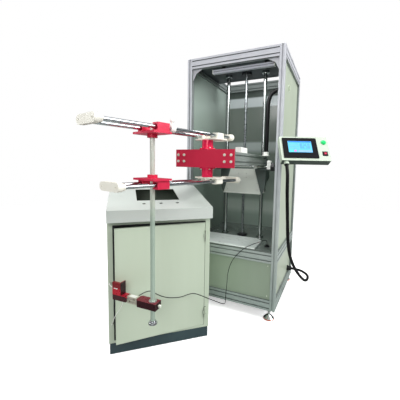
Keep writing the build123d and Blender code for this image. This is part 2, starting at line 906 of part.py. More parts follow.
def shaft_bearings():
    """White bearing blocks on the ledges and the pinion housings under the beams."""
    pieces = []
    bore = shaft_diameter + 2 * running_clearance
    half = shaft_bearing_depth / 2
    for side, inner, outer in shaft_bearing_places():
        low = min(inner, outer)
        high = max(inner, outer)
        block = slab(low, high, shaft_y - half, shaft_y + half, trapezoid_top,
                     trapezoid_top + shaft_bearing_height)
        block = fillet(block.edges().filter_by(Axis.X).group_by(Axis.Z)[-1], 8.0)
        pieces.append(block - rod_along_x(bore, low, high, shaft_y, shaft_z))
    half = pinion_housing_depth / 2
    for x in beam_places():
        side = 1 if x > centre_x else -1
        outer = x - side * (beam_side / 2 - pinion_housing_width)
        inner = x - side * beam_side / 2
        low = min(inner, outer)
        high = max(inner, outer)
        block = slab(low, high, shaft_y - half, shaft_y + half,
                     beam_bottom - pinion_housing_height, beam_bottom)
        pieces.append(block - rod_along_x(bore, low, high, shaft_y, shaft_z))
    return pieces


def shaft_ends():
    """The shaft starts in the left bearing block and ends in the handwheel."""
    return centre_x - shaft_reach, centre_x + shaft_reach


def cross_shaft():
    left, right = shaft_ends()
    shaft = rod_along_x(shaft_diameter, left + sliding_gap,
                        right + sliding_gap + handwheel_width, shaft_y, shaft_z)
    return [shaft]


def feed_handwheel():
    """A lobed black wheel on the right end of the cross shaft."""
    start = shaft_ends()[1] + sliding_gap
    outline = Circle(handwheel_diameter / 2 - handwheel_lobe_radius * 0.6)
    for index in range(handwheel_lobes):
        angle = 360 * index / handwheel_lobes
        outline += Rot(0, 0, angle) * Pos(handwheel_diameter / 2 - handwheel_lobe_radius, 0) * Circle(
            handwheel_lobe_radius)
    outline -= Circle(shaft_diameter / 2)
    plane = Plane((start, shaft_y, shaft_z), x_dir=(0, 1, 0), z_dir=(1, 0, 0))
    return [extrude(plane * outline, handwheel_width)]


def feed_motor():
    left = shaft_ends()[0]
    plane = Plane((left - feed_motor_length, shaft_y, shaft_z), x_dir=(0, 1, 0), z_dir=(1, 0, 0))
    return [extrude(plane * RectangleRounded(feed_motor_side, feed_motor_side, 5), feed_motor_length)]


def beam_fittings():
    """The white stop block with its plug, and the hose gland on its tab."""
    x = beam_places()[1]
    back = stop_block_front + stop_block_length
    block = slab(x - stop_block_width / 2, x + stop_block_width / 2, stop_block_front, back,
                 beam_top, beam_top + stop_block_height)
    block = chamfer(block.edges().filter_by(Axis.Y).group_by(Axis.Z)[-1], 3.0)
    plug = rod_along_y(stop_plug_diameter, back, back + stop_plug_length, x,
                       beam_top + stop_block_height / 2)
    tab = slab(gland_x - gland_tab_width / 2, gland_x + gland_tab_width / 2,
               gland_y - gland_tab_depth / 2, gland_y + gland_tab_depth / 2,
               beam_top, beam_top + gland_tab_thickness)
    gland = disc(carriage_hose_diameter + 12, beam_top + gland_tab_thickness,
                 beam_top + gland_tab_thickness + gland_height, gland_x, gland_y)
    return [block, plug, tab, chamfer(gland.edges().group_by(Axis.Z)[-1], 4.0)]


def feed_rams():
    """Square tubes that run in the beams' bores, each with a bolting flange in front."""
    pieces = []
    inner = ram_side - 2 * ram_wall
    half = ram_flange_side / 2
    for x in beam_places():
        start = Plane((x, ram_flange_front, beam_middle_z), x_dir=(1, 0, 0), z_dir=(0, 1, 0))
        tube = extrude(start * (Rectangle(ram_side, ram_side) - Rectangle(inner, inner)),
                       ram_rear - ram_flange_front, dir=(0, 1, 0))
        flange = slab(x - half, x + half, ram_flange_front,
                      ram_flange_front + ram_flange_thickness,
                      beam_middle_z - half, beam_middle_z + half)
        ram = tube + flange
        for bolt_x, bolt_z in plate_bolt_places(x):
            ram -= rod_along_y(plate_bolt_diameter, ram_flange_front,
                               ram_flange_front + ram_flange_thickness, bolt_x, bolt_z)
        pieces.append(ram)
    return pieces


def plate_bolt_places(x):
    """The four bolts in front of one beam."""
    for dx in (-plate_bolt_across / 2, plate_bolt_across / 2):
        for dz in (-plate_bolt_height / 2, plate_bolt_height / 2):
            yield x + dx, beam_middle_z + dz


def front_plate():
    """The red cross plate with the block that carries the arm posts behind it."""
    half = front_plate_width / 2
    bottom = block_bottom
    plate = slab(centre_x - half, centre_x + half, plate_front, ram_flange_front,
                 bottom, bottom + front_plate_height)
    for x in beam_places():
        for bolt_x, bolt_z in plate_bolt_places(x):
            plate -= rod_along_y(plate_bolt_diameter, plate_front, ram_flange_front,
                                 bolt_x, bolt_z)
    half = cross_block_width / 2
    block = slab(centre_x - half, centre_x + half, ram_flange_front,
                 ram_flange_front + cross_block_depth, block_bottom, block_top)
    return [plate, block]


def flange_screw_places():
    for index in range(flange_screw_count):
        angle = math.radians(45 + 360 * index / flange_screw_count)
        radius = flange_screw_circle / 2
        yield centre_x + radius * math.cos(angle), post_y + radius * math.sin(angle)


def arm_posts():
    """Round posts above and below the block, bored for the arms' pivots."""
    bore = pivot_diameter + 2 * running_clearance
    upper = disc(arm_flange_diameter, block_top, block_top + arm_flange_thickness,
                 centre_x, post_y)
    upper += disc(arm_post_diameter, block_top, upper_hub_face, centre_x, post_y)
    upper -= disc(bore, upper_hub_face - pivot_depth - 1, upper_hub_face, centre_x, post_y)
    lower = disc(arm_flange_diameter, block_bottom - arm_flange_thickness, block_bottom,
                 centre_x, post_y)
    lower += disc(arm_post_diameter, lower_hub_face, block_bottom, centre_x, post_y)
    lower -= disc(bore, lower_hub_face, lower_hub_face + pivot_depth + 1, centre_x, post_y)
    return [upper, lower]


def plate_bolts():
    """Bolts through the front plate, and the screws on the post flanges."""
    pieces = []
    for x in beam_places():
        for bolt_x, bolt_z in plate_bolt_places(x):
            head = rod_along_y(plate_bolt_head, plate_front - plate_bolt_head_height,
                               plate_front, bolt_x, bolt_z)
            head = chamfer(head.edges().group_by(Axis.Y)[0], 1.5)
            shank = rod_along_y(plate_bolt_diameter, plate_front,
                                ram_flange_front + ram_flange_thickness, bolt_x, bolt_z)
            pieces.append(head + shank)
    for x, y in flange_screw_places():
        top = block_top + arm_flange_thickness
        bottom = block_bottom - arm_flange_thickness
        pieces.append(disc(flange_screw_head, top, top + flange_screw_head_height, x, y))
        pieces.append(disc(flange_screw_head, bottom - flange_screw_head_height, bottom, x, y))
    return pieces


def arm_rods(front, rear, z):
    """The two rods of an arm, their ends in the end blocks' sockets."""
    inner = end_block_thickness - end_block_socket
    pieces = []
    for side in (-1, 1):
        rod = rod_along_x(arm_rod_diameter, -rear + inner, front - inner,
                          side * arm_rod_spacing / 2, z)
        pieces.append(arm_place * rod)
    return pieces


def end_block(s0, z, outward):
    """A rounded bar over both rod ends, with the two fixing holes."""
    plane = Plane((s0, 0, z), x_dir=(0, 1, 0), z_dir=(1, 0, 0))
    block = extrude(plane * SlotOverall(end_block_width, end_block_height), end_block_thickness)
    socket = s0 if outward > 0 else s0 + end_block_thickness - end_block_socket
    for side in (-1, 1):
        y = side * arm_rod_spacing / 2
        block -= rod_along_x(arm_rod_diameter, socket, socket + end_block_socket, y, z)
        block -= rod_along_x(end_block_screw_hole, s0, s0 + end_block_thickness, y, z)
    return block


def pivot_bolt(face, sign):
    """The pivot in the post's bore, with washer and domed nut on the hub plate."""
    plate = face + sign * (sliding_gap + hub_plate_thickness)
    washer = plate + sign * pivot_washer_thickness
    nut = washer + sign * pivot_nut_height
    shank = disc(pivot_diameter, min(face - sign * pivot_depth, plate),
                 max(face - sign * pivot_depth, plate))
    shank += disc(pivot_washer_diameter, min(plate, washer), max(plate, washer))
    shank += extrude(Pos(0, 0, min(washer, nut)) * RegularPolygon(
        pivot_nut_width / 2, 6, major_radius=False), pivot_nut_height)
    shank += Pos(0, 0, nut) * Sphere(pivot_dome_radius)
    return shank


def arm_blocks(front, rear, face, z, sign):
    """Hub plate, rod clamps, end blocks, collars and pivot of one arm."""
    plate_face = face + sign * sliding_gap
    plate_far = plate_face + sign * hub_plate_thickness
    plate = slab(hub_plate_front - hub_plate_length, hub_plate_front, -hub_plate_width / 2,
                 hub_plate_width / 2, min(plate_face, plate_far), max(plate_face, plate_far))
    plate = chamfer(plate.edges().filter_by(Axis.Z), 8.0)
    plate -= disc(pivot_diameter, min(plate_face, plate_far), max(plate_face, plate_far))
    pieces = [plate, pivot_bolt(face, sign)]
    for side in (-1, 1):
        y = side * arm_rod_spacing / 2
        clamp = slab(arm_clamp_front - arm_clamp_length, arm_clamp_front,
                     y - arm_clamp_width / 2, y + arm_clamp_width / 2,
                     z - arm_clamp_height / 2, z + arm_clamp_height / 2)
        far = Axis.Z if sign > 0 else -Axis.Z
        clamp = fillet(clamp.edges().filter_by(Axis.X).group_by(far)[-1], 6.0)
        pieces.append(clamp - rod_along_x(arm_rod_diameter, -rear, front, y, z))
        for collar_start in (front - end_block_thickness - end_collar_length,
                             -rear + end_block_thickness):
            collar = rod_along_x(end_collar_diameter, collar_start,
                                 collar_start + end_collar_length, y, z)
            pieces.append(collar - rod_along_x(arm_rod_diameter, -rear, front, y, z))
    pieces.append(end_block(front - end_block_thickness, z, 1))
    pieces.append(end_block(-rear, z, -1))
    return [arm_place * piece for piece in pieces]


def slider(z, sign):
    """Two bearing blocks on the arm's rods, a joining plate and the drop rod's hub.

    The plate lies on the side of the blocks that faces the other arm.
    """
    rear = slider_front - slider_length
    face = z - sign * slider_block_height / 2
    far = face - sign * slider_plate_thickness
    hub_end = far - sign * slider_hub_height
    plate = slab(slider_plate_rear, slider_plate_rear + slider_plate_length,
                 -slider_plate_width / 2, slider_plate_width / 2, min(face, far), max(face, far))
    body = chamfer(plate.edges().filter_by(Axis.Z), 6.0)
    for side in (-1, 1):
        y = side * arm_rod_spacing / 2
        body += slab(rear, slider_front, y - slider_block_width / 2, y + slider_block_width / 2,
                     z - slider_block_height / 2, z + slider_block_height / 2)
    body += disc(slider_hub_diameter, min(far, hub_end), max(far, hub_end), drop_reach)
    body -= disc(drop_diameter + 2 * running_clearance, min(face, hub_end), max(face, hub_end),
                 drop_reach)
    bore = arm_rod_diameter + 2 * running_clearance
    for side in (-1, 1):
        y = side * arm_rod_spacing / 2
        body -= rod_along_x(bore, rear, slider_front, y, z)
        groove = slider_mouth_diameter
        for x0 in (rear, slider_front - slider_mouth_depth):
            mouth = rod_along_x(groove, x0, x0 + slider_mouth_depth, y, z)
            body -= mouth
    return [arm_place * body]


def stop_collar():
    """The split stop on the upper arm's right rod."""
    y = arm_rod_spacing / 2
    end = stop_collar_rear + stop_collar_length
    collar = rod_along_x(stop_collar_diameter, stop_collar_rear, end, y, upper_rod_z)
    collar -= rod_along_x(arm_rod_diameter + 2 * running_clearance, stop_collar_rear, end, y,
                          upper_rod_z)
    top = upper_rod_z + stop_collar_diameter / 2
    middle = stop_collar_rear + stop_collar_length / 2
    collar -= disc(stop_stem_diameter + 2 * running_clearance, top - stop_stem_depth - 1, top + 1,
                   middle, y)
    return [arm_place * collar]


def stop_knob():
    """The ball knob whose stem locks the stop."""
    top = upper_rod_z + stop_collar_diameter / 2
    middle = stop_collar_rear + stop_collar_length / 2
    y = arm_rod_spacing / 2
    stem = disc(stop_stem_diameter, top - stop_stem_depth, top + stop_stem_height, middle, y)
    ball = Pos(middle, y, top + stop_stem_height + stop_knob_diameter * 0.4) * Sphere(
        stop_knob_diameter / 2)
    return [arm_place * (stem + ball)]


def drop_rod():
    """The hanging rod with a round foot."""
    rod = disc(drop_diameter, drop_bottom, drop_top, drop_x, drop_y)
    rod = chamfer(rod.edges().group_by(Axis.Z)[-1], 2.0)
    foot = disc(drop_foot_diameter, drop_bottom, drop_bottom + drop_foot_height, drop_x, drop_y)
    foot = chamfer(foot.edges().group_by(Axis.Z)[-1], 2.0)
    boss_top = drop_bottom + drop_foot_height + drop_boss_height
    boss = disc(drop_boss_diameter, drop_bottom, boss_top, drop_x, drop_y)
    return [rod + foot + boss]


def clamp_bush():
    """The bush between drop rod and clamp, with a rim above and below."""
    bore = drop_diameter + 2 * running_clearance
    low = clamp_bottom - sliding_gap
    high = clamp_top + sliding_gap
    bush = disc(bush_diameter, low, high, drop_x, drop_y)
    bush += disc(bush_rim_diameter, high, high + bush_rim_height, drop_x, drop_y)
    bush += disc(bush_rim_diameter, low - bush_rim_height, low, drop_x, drop_y)
    bush -= disc(bore, low - bush_rim_height, high + bush_rim_height, drop_x, drop_y)
    return [bush]


def rod_clamp():
    """The clamp block with its open slot and the thumb screw's hole."""
    half = clamp_width / 2
    block = slab(-clamp_end, cell_start, -half, half, clamp_bottom, clamp_top)
    block = chamfer(block.edges().filter_by(Axis.Z).group_by(Axis.X)[-1], clamp_chamfer)
    block -= disc(bush_diameter + 2 * running_clearance, clamp_bottom, clamp_top)
    block -= rod_along_x(clamp_screw_diameter + 2 * running_clearance, -clamp_end,
                         -clamp_end + clamp_screw_depth, 0, clamp_middle)
    return [gripper_place * block]


def clamp_screw():
    """The thumb screw at the end of the clamp."""
    neck = -clamp_end - clamp_screw_neck
    screw = rod_along_x(clamp_screw_diameter, neck, -clamp_end + clamp_screw_depth - 1, 0,
                        clamp_middle)
    head = rod_along_x(clamp_screw_head, neck - clamp_screw_head_length, neck, 0, clamp_middle)
    head = chamfer(head.edges().filter_by(GeomType.CIRCLE), 2.0)
    return [gripper_place * (screw + head)]


def load_cell():
    """An S-shaped load cell: two slots from opposite ends, each ending in a round eye."""
    half = cell_width / 2
    end = cell_start + cell_length
    cell = slab(cell_start, end, -half, half, clamp_bottom, clamp_top)
    eye = cell_eye_diameter
    for slot_start, slot_end, z, eye_x in (
            (cell_start + cell_slot_inset, end, clamp_top - cell_slot_inset,
             cell_start + cell_slot_inset + eye / 2),
            (cell_start, end - cell_slot_inset, clamp_bottom + cell_slot_inset,
             end - cell_slot_inset - eye / 2)):
        cell -= slab(slot_start, slot_end, -half, half, z - cell_slot / 2, z + cell_slot / 2)
        cell -= rod_along_y(eye, -half, half, eye_x, z)
    return [gripper_place * cell]


def gripper_block():
    """The gripper's base, slotted for the jaw, with two cap screws on top."""
    half = gripper_width / 2
    top = gripper_top
    block = slab(gripper_start, gripper_end, -half, half, top - gripper_height, top)
    block = chamfer(block.edges().filter_by(Axis.Y).group_by(Axis.X)[0], 4.0)
    slot_end = gripper_end - 8
    block -= slab(slot_end - gripper_slot_length, slot_end, -gripper_slot_width / 2,
                  gripper_slot_width / 2, top - gripper_height, top)
    screw_x = gripper_start + gripper_screw_reach
    for side in (-1, 1):
        block += disc(gripper_screw_head, top, top + gripper_screw_height, screw_x,
                      side * gripper_screw_across / 2)
    return [gripper_place * block]


def gripper_jaw():
    """The upright jaw, a channel that stands on the block and opens to the back."""
    half = gripper_width / 2
    start = gripper_end - jaw_length
    bottom = gripper_top + 0.02
    jaw = slab(start, gripper_end, half - jaw_thickness, half, bottom, bottom + jaw_height)
    jaw += slab(start, start + jaw_web, -half, half, bottom, bottom + jaw_height)
    jaw += slab(start, gripper_end, -half, half, bottom, bottom + jaw_web)
    jaw = chamfer(jaw.edges().filter_by(Axis.Y).group_by(Axis.Z)[-1], 2.0)
    return [gripper_place * jaw]


def box_plane():
    """The operator box's face: X to its right, Y up the face, Z out of it."""
    yaw = math.radians(box_yaw)
    tilt = math.radians(box_tilt)
    right = (math.cos(yaw), math.sin(yaw), 0)
    normal = (math.sin(yaw) * math.cos(tilt), -math.cos(yaw) * math.cos(tilt), math.sin(tilt))
    return Plane(box_centre, x_dir=right, z_dir=normal)


def box_point(x, y, z):
    """A point of the operator box's own frame, in the cabinet's frame."""
    return box_plane().from_local_coords(Vector(x, y, z))


def tilt_pin_point():
    return box_point(0, 0, -box_depth - pin_stand_off)


def hmi_housing():
    """The operator box with ears behind it for the tilt pin, and a hose gland below."""
    face = RectangleRounded(box_width, box_height, box_corner)
    shell = Pos(0, 0, -box_depth) * extrude(face, box_depth)
    shell -= Pos(0, 0, -box_depth / 2) * Box(
        box_width - 2 * box_wall, box_height - 2 * box_wall, box_depth - 2 * box_wall)
    shell -= Pos(bezel_offset, bezel_rise, 0) * Box(
        bezel_width - bezel_lap, bezel_height - bezel_lap, 2 * box_wall)
    shell -= Pos(button_across, button_rise, 0) * Cylinder(
        button_diameter / 2 + rest_gap, 2 * box_wall)
    switch_hole = switch_side - 2 * switch_rim + 2 * rest_gap
    shell -= Pos(switch_across, switch_rise, 0) * Box(switch_hole, switch_hole, 2 * box_wall)
    gap = tilt_barrel_length / 2 + sliding_gap
    for side in (-1, 1):
        x0 = side * (gap + tilt_ear_thickness / 2)
        ear = Pos(x0, 0, -box_depth - pin_stand_off / 2) * Box(
            tilt_ear_thickness, tilt_ear_width, pin_stand_off)
        ear += Pos(x0, 0, -box_depth - pin_stand_off) * Rot(0, 90, 0) * Cylinder(
            tilt_ear_width / 2, tilt_ear_thickness)
        shell += ear
    reach = 2 * (gap + tilt_ear_thickness)
    shell += Pos(0, 0, -box_depth - pin_stand_off) * Rot(0, 90, 0) * Cylinder(
        tilt_pin_diameter / 2, reach)
    shell += Pos(box_gland_across, -box_height / 2 - box_gland_height / 2, -box_depth / 2) * Rot(
        90, 0, 0) * Cylinder(box_gland_diameter / 2, box_gland_height)
    return [box_plane().location * shell]


def hmi_bezel():
    """The touch panel's black frame."""
    bezel = Pos(bezel_offset, bezel_rise, 0) * extrude(
        RectangleRounded(bezel_width, bezel_height, box_corner), bezel_thickness)
    bezel -= Pos(bezel_offset, bezel_rise + screen_rise, bezel_thickness / 2) * Box(
        screen_width, screen_height, bezel_thickness)
    return [box_plane().location * chamfer(bezel.edges().filter_by(Axis.X).group_by(Axis.Z)[-1], 1.0)]


def hmi_screen():
    screen = Pos(bezel_offset, bezel_rise + screen_rise,
                 (bezel_thickness - screen_recess) / 2) * Box(
        screen_width, screen_height, bezel_thickness - screen_recess)
    return [box_plane().location * screen]


def start_button():
    """The push button's round cap and plunger."""
    plunger = Pos(button_across, button_rise, -button_depth / 4) * Cylinder(
        button_diameter / 2, button_depth / 2)
    cap = Pos(button_across, button_rise, button_proud / 2) * Cylinder(
        button_diameter / 2, button_proud)
    cap = chamfer(cap.edges().group_by(Axis.Z)[-1], 2.0)
    return [box_plane().location * (plunger + cap)]


def power_switch():
    """The square switch's cap and plunger."""
    side = switch_side - 2 * switch_rim
    plunger = Pos(switch_across, switch_rise, -button_depth / 4) * Box(side, side, button_depth / 2)
    cap = Pos(switch_across, switch_rise, switch_proud / 2) * Box(side, side, switch_proud)
    cap = chamfer(cap.edges().group_by(Axis.Z)[-1], 1.5)
    return [box_plane().location * (plunger + cap)]


def swivel_point():
    return (cabinet_width + swivel_stand_off, half_profile, tilt_pin_point().Z)


def hmi_bracket():
    """The plate on the post with two lugs and the swivel pin."""
    x, y, z = swivel_point()
    half_width = bracket_plate_width / 2
    plate = slab(cabinet_width, cabinet_width + bracket_plate_thickness, y - half_width,
                 y + half_width, z - bracket_plate_height / 2, z + bracket_plate_height / 2)
    half_hub = swivel_hub_height / 2
    for side in (-1, 1):
        z0 = z + side * half_hub
        z1 = z0 + side * swivel_lug_thickness
        low = min(z0, z1)
        high = max(z0, z1)
        plate += slab(cabinet_width, x, y - swivel_hub_diameter / 2, y + swivel_hub_diameter / 2,
                      low, high)
        plate += disc(swivel_hub_diameter, low, high, x, y)
    plate += disc(swivel_pin_diameter, z - half_hub - swivel_lug_thickness,
                  z + half_hub + swivel_lug_thickness, x, y)
    return [plate]


def flat_bar(start, end, z):
    """A straight bar between two points at one height."""
    span = math.dist(start, end)
    angle = math.degrees(math.atan2(end[1] - start[1], end[0] - start[0]))
    bar = Pos(span / 2, 0, 0) * Box(span, swivel_bar_width, swivel_bar_height)
    return Location((start[0], start[1], z), (0, 0, angle)) * bar


def hmi_arm():
    """The bent bar between the swivel hub and the tilt barrel."""
    x, y, z = swivel_point()
    pin = tilt_pin_point()
    yaw = math.radians(box_yaw)
    elbow_x = pin.X - swivel_elbow * math.sin(yaw)
    elbow_y = pin.Y + swivel_elbow * math.cos(yaw)
    hub_height = swivel_hub_height - 2 * sliding_gap
    arm = Pos(x, y, z) * Cylinder(swivel_hub_diameter / 2, hub_height)
    arm += flat_bar((x, y), (elbow_x, elbow_y), z)
    arm += Pos(elbow_x, elbow_y, z) * Cylinder(swivel_bar_width / 2, swivel_bar_height)
    arm += flat_bar((elbow_x, elbow_y), (pin.X, pin.Y), z)
    barrel_place = Location((pin.X, pin.Y, z), (0, 0, box_yaw)) * Rot(0, 90, 0)
    arm += barrel_place * Cylinder(tilt_barrel_diameter / 2, tilt_barrel_length)
    arm -= Pos(x, y, z) * Cylinder(swivel_pin_diameter / 2 + running_clearance, hub_height)
    arm -= barrel_place * Cylinder(tilt_pin_diameter / 2 + running_clearance, tilt_barrel_length)
    return [arm]


def console_plinth():
    """The set-back skirt of folded sheet under the console."""
    inset = console_plinth_inset
    base = slab(inset, console_width - inset, inset, console_depth - inset, 0,
                console_plinth_height)
    inner = inset + console_wall
    base -= slab(inner, console_width - inner, inner, console_depth - inner, 0,
                 console_plinth_height)
    return [console_place * base]


def console_body():
    """A folded sheet body, open to the door, with its hinge halves and two string studs."""
    body = slab(0, console_width, 0, console_depth, console_plinth_height, console_body_top)
    wall = console_wall
    body -= slab(wall, console_width - wall, console_fold, console_depth - wall,
                 console_plinth_height + wall, console_body_top - wall)
    body -= slab(door_left, door_right, 0, console_fold, door_bottom, door_top)
    knuckle_x = door_right + door_gap
    for z in hinge_heights():
        for z0 in (z - 1.5 * hinge_knuckle, z + 0.5 * hinge_knuckle):
            knuckle = disc(hinge_barrel_diameter, z0, z0 + hinge_knuckle, knuckle_x,
                           -hinge_stand_off)
            knuckle += slab(knuckle_x, knuckle_x + hinge_barrel_diameter, -hinge_stand_off, 0,
                            z0, z0 + hinge_knuckle)
            knuckle -= disc(hinge_pin_diameter + 2 * running_clearance, z0, z0 + hinge_knuckle,
                            knuckle_x, -hinge_stand_off)
            body += knuckle
    for x, z in (upper_eye, lower_eye):
        body += rod_along_y(eye_diameter, -eye_length, 0, x, z)
    return [console_place * body]


def hinge_heights():
    return (door_bottom + hinge_inset, door_top - hinge_inset)


def console_door():
    """The folded door, standing ajar, with the middle hinge knuckles and their pins."""
    door = slab(door_left + door_gap, door_right - door_gap, 0, door_fold,
                door_bottom + door_gap, door_top - door_gap)
    sheet = door_sheet
    door -= slab(door_left + door_gap + sheet, door_right - door_gap - sheet, sheet, door_fold,
                 door_bottom + door_gap + sheet, door_top - door_gap - sheet)
    knuckle_x = door_right + door_gap
    for z in hinge_heights():
        z0 = z - 0.5 * hinge_knuckle + sliding_gap
        z1 = z + 0.5 * hinge_knuckle - sliding_gap
        door += disc(hinge_barrel_diameter, z0, z1, knuckle_x, -hinge_stand_off)
        door += slab(knuckle_x - hinge_barrel_diameter - door_gap, knuckle_x,
                     -hinge_stand_off, -hinge_stand_off + 3, z0, z1)
        door += slab(knuckle_x - hinge_barrel_diameter - door_gap,
                     knuckle_x - 2 * door_gap, -hinge_stand_off, 0, z0, z1)
        door += disc(hinge_pin_diameter, z - 1.5 * hinge_knuckle, z + 1.5 * hinge_knuckle,
                     knuckle_x, -hinge_stand_off)
    pivot = Pos(knuckle_x, -hinge_stand_off, 0)
    turned = pivot * Rot(0, 0, door_open) * Pos(-knuckle_x, hinge_stand_off, 0) * door
    return [console_place * turned]


def console_top():
    """The desk top's plates: slope with cut-out and button holes, bottom, front, back, sides."""
    wall = console_wall
    front = -console_overhang
    bottom = console_body_top + wall
    fall = wall / math.cos(math.radians(slope_angle))

    def under_slope(y):
        return slope_foot_z + (y - front) * math.tan(math.radians(slope_angle)) - fall

    def plate(x0, x1, y0, y1):
        side = Plane((x0, 0, 0), x_dir=(0, 1, 0), z_dir=(1, 0, 0))
        outline = Polygon((y0, bottom), (y1, bottom), (y1, under_slope(y1)),
                          (y0, under_slope(y0)), align=None)
        return extrude(side * outline, x1 - x0)

    side = Plane((0, 0, 0), x_dir=(0, 1, 0), z_dir=(1, 0, 0))
    slope_outline = Polygon(
        (front, slope_foot_z - fall), (console_depth, slope_foot_z + console_rise - fall),
        (console_depth, slope_foot_z + console_rise), (front, slope_foot_z), align=None)
    sheet = extrude(side * slope_outline, console_width)
    cut_depth = 3 * wall
    slope = slope_plane()
    display = Pos(display_left + display_width / 2, display_foot + display_length / 2, 0) * Box(
        display_width, display_length, 2 * cut_depth)
    sheet -= slope.location * display
    for index in range(3):
        x = button_hole_first + index * button_hole_pitch
        hole = Pos(x, button_hole_foot, 0) * Cylinder(button_hole_diameter / 2, 2 * cut_depth)
        sheet -= slope.location * hole
    floor_plate = slab(0, console_width, front, console_depth, console_body_top, bottom)
    walls = [
        plate(0, console_width, front, front + wall),
        plate(0, console_width, console_depth - wall, console_depth),
        plate(0, wall, front + wall, console_depth - wall),
        plate(console_width - wall, console_width, front + wall, console_depth - wall)]
    return [console_place * piece for piece in [sheet, floor_plate] + walls]


def slope_plane():
    """The desk's slope: X along the front, Y up the slope."""
    tilt = math.radians(slope_angle)
    return Plane((0, -console_overhang, slope_foot_z), x_dir=(1, 0, 0),
                 z_dir=(0, -math.sin(tilt), math.cos(tilt)))


def cord_path(points):
    """Straight runs joined by tangent arcs, each as large as its two runs allow."""
    corners = [Vector(*point) for point in points]
    radii = []
    for before, corner, after in zip(corners, corners[1:], corners[2:]):
        run_in = corner - before
        run_out = after - corner
        half_turn = math.radians(run_in.get_angle(run_out)) / 2
        radii.append(0.45 * min(run_in.length, run_out.length) / math.tan(half_turn))
    return FilletPolyline(*corners, radius=radii), radii


def cord_tube(name, points, diameter):
    """A round cord along its path; prints its radii and compares its volume."""
    path, radii = cord_path(points)
    section = Plane(path @ 0, z_dir=path % 0) * Circle(diameter / 2)
    tube = sweep(section, path=path)
    expected = math.pi * diameter ** 2 / 4 * path.length
    print(name, "length", round(path.length, 1), "radii", [round(radius, 1) for radius in radii],
          "volume ratio", round(tube.volume / expected, 4))
    return tube


def cell_gland_point():
    """Where the sensor cable leaves the load cell, on the side towards the console."""
    return gripper_place * Pos(cell_start + cell_length / 2, -cell_width / 2, clamp_middle)


def sensor_cable():
    start = cell_gland_point().position
    out = (cell_gland_point() * Pos(0, -26, 0)).position
    points = [
        (start.X, start.Y, start.Z), (out.X, out.Y, out.Z),
        (168, -748, 425), (206, -734, 438), (244, -730, 420), (281, -690, 392),
        (300, -635, 370), (314, -580, 352), (322, -520, 343), (340, -470, 334), (390, -448, 316),
        (447, -440, 303), (500, -420, 284), (515, -370, 254), (498, -310, 238), (470, -240, 230),
        (445, -170, 234), (428, -110, 272), (418, -78, 326), (428, -62, 388), (448, -48, 440),
        (484, -34, 488), (532, -14, 536), (584, 14, 562), (636, 60, 580), (662, 98, 585),
        (grommet_x, grommet_y, base_top + grommet_height + 29),
        (grommet_x, grommet_y, base_top + grommet_height)]
    return [cord_tube("sensor_cable", points, sensor_diameter)]


def hmi_hose():
    start = box_point(box_gland_across, -box_height / 2 - box_gland_height, -box_depth / 2)
    down = box_point(box_gland_across, -box_height / 2 - box_gland_height - 60, -box_depth / 2)
    gland_face = cabinet_width - half_profile + panel_thickness / 2 + hose_gland_length
    side = cabinet_width
    points = [
        (start.X, start.Y, start.Z), (down.X, down.Y, down.Z),
        (side + 82, -190, 1020), (side + 84, -165, 900), (side + 86, -130, 774),
        (side + 84, -80, 665), (side + 85, -15, 565), (side + 92, 60, 475),
        (side + 108, 150, 385), (side + 130, 245, 300), (side + 165, 345, 215),
        (side + 182, side_gland_y - 193, 172), (side + 185, side_gland_y - 98, 168),
        (side + 166, side_gland_y - 53, 171), (side + 132, side_gland_y - 19, 176),
        (side + 87, side_gland_y, side_gland_z), (gland_face, side_gland_y, side_gland_z)]
    return [cord_tube("hmi_hose", points, box_hose_diameter)]


def carriage_hose():
    gland_face = cabinet_width - half_profile - panel_thickness / 2 - side_gland_length
    bottom = beam_top + gland_tab_thickness + gland_height
    points = [
        (gland_face, wall_gland_y, wall_gland_z), (652, wall_gland_y, wall_gland_z),
        (592, 302, 1720), (gland_x, gland_y, 1560), (gland_x, gland_y, bottom)]
    return [cord_tube("carriage_hose", points, carriage_hose_diameter)]


def tie_strings():
    """Two thin strings from the gripper to the studs, each with a knot at both ends."""
    upper_end = console_place * Pos(upper_eye[0], -eye_length, upper_eye[1])
    lower_end = console_place * Pos(lower_eye[0], -eye_length, lower_eye[1])
    front = gripper_width / 2 + string_diameter / 2 + 0.5
    jaw_z = gripper_top + 38
    corner = gripper_place * Pos(gripper_end + 4, front + 2, jaw_z)
    face = gripper_place * Pos(gripper_end - 34, front, jaw_z)
    door_edge = (8, -827)
    under = gripper_place * Pos(gripper_end - 54, 0, gripper_top - gripper_height)
    pieces = []
    ends = []
    for location in (upper_end, corner, face, under, lower_end):
        point = location.position
        ends.append((point.X, point.Y, point.Z))
    upper_points = [
        (ends[0][0] - 1, ends[0][1] - 8, ends[0][2]), ends[1], ends[2]]
    pieces.append(cord_tube("upper tie string", upper_points, string_diameter))
    lower_points = [
        (ends[3][0], ends[3][1], ends[3][2]),
        (ends[3][0], ends[3][1], ends[3][2] - 36),
        (door_edge[0], door_edge[1], 272),
        (ends[4][0] + 1, ends[4][1] - 8, ends[4][2] + 2)]
    pieces.append(cord_tube("lower tie string", lower_points, string_diameter))
    return pieces


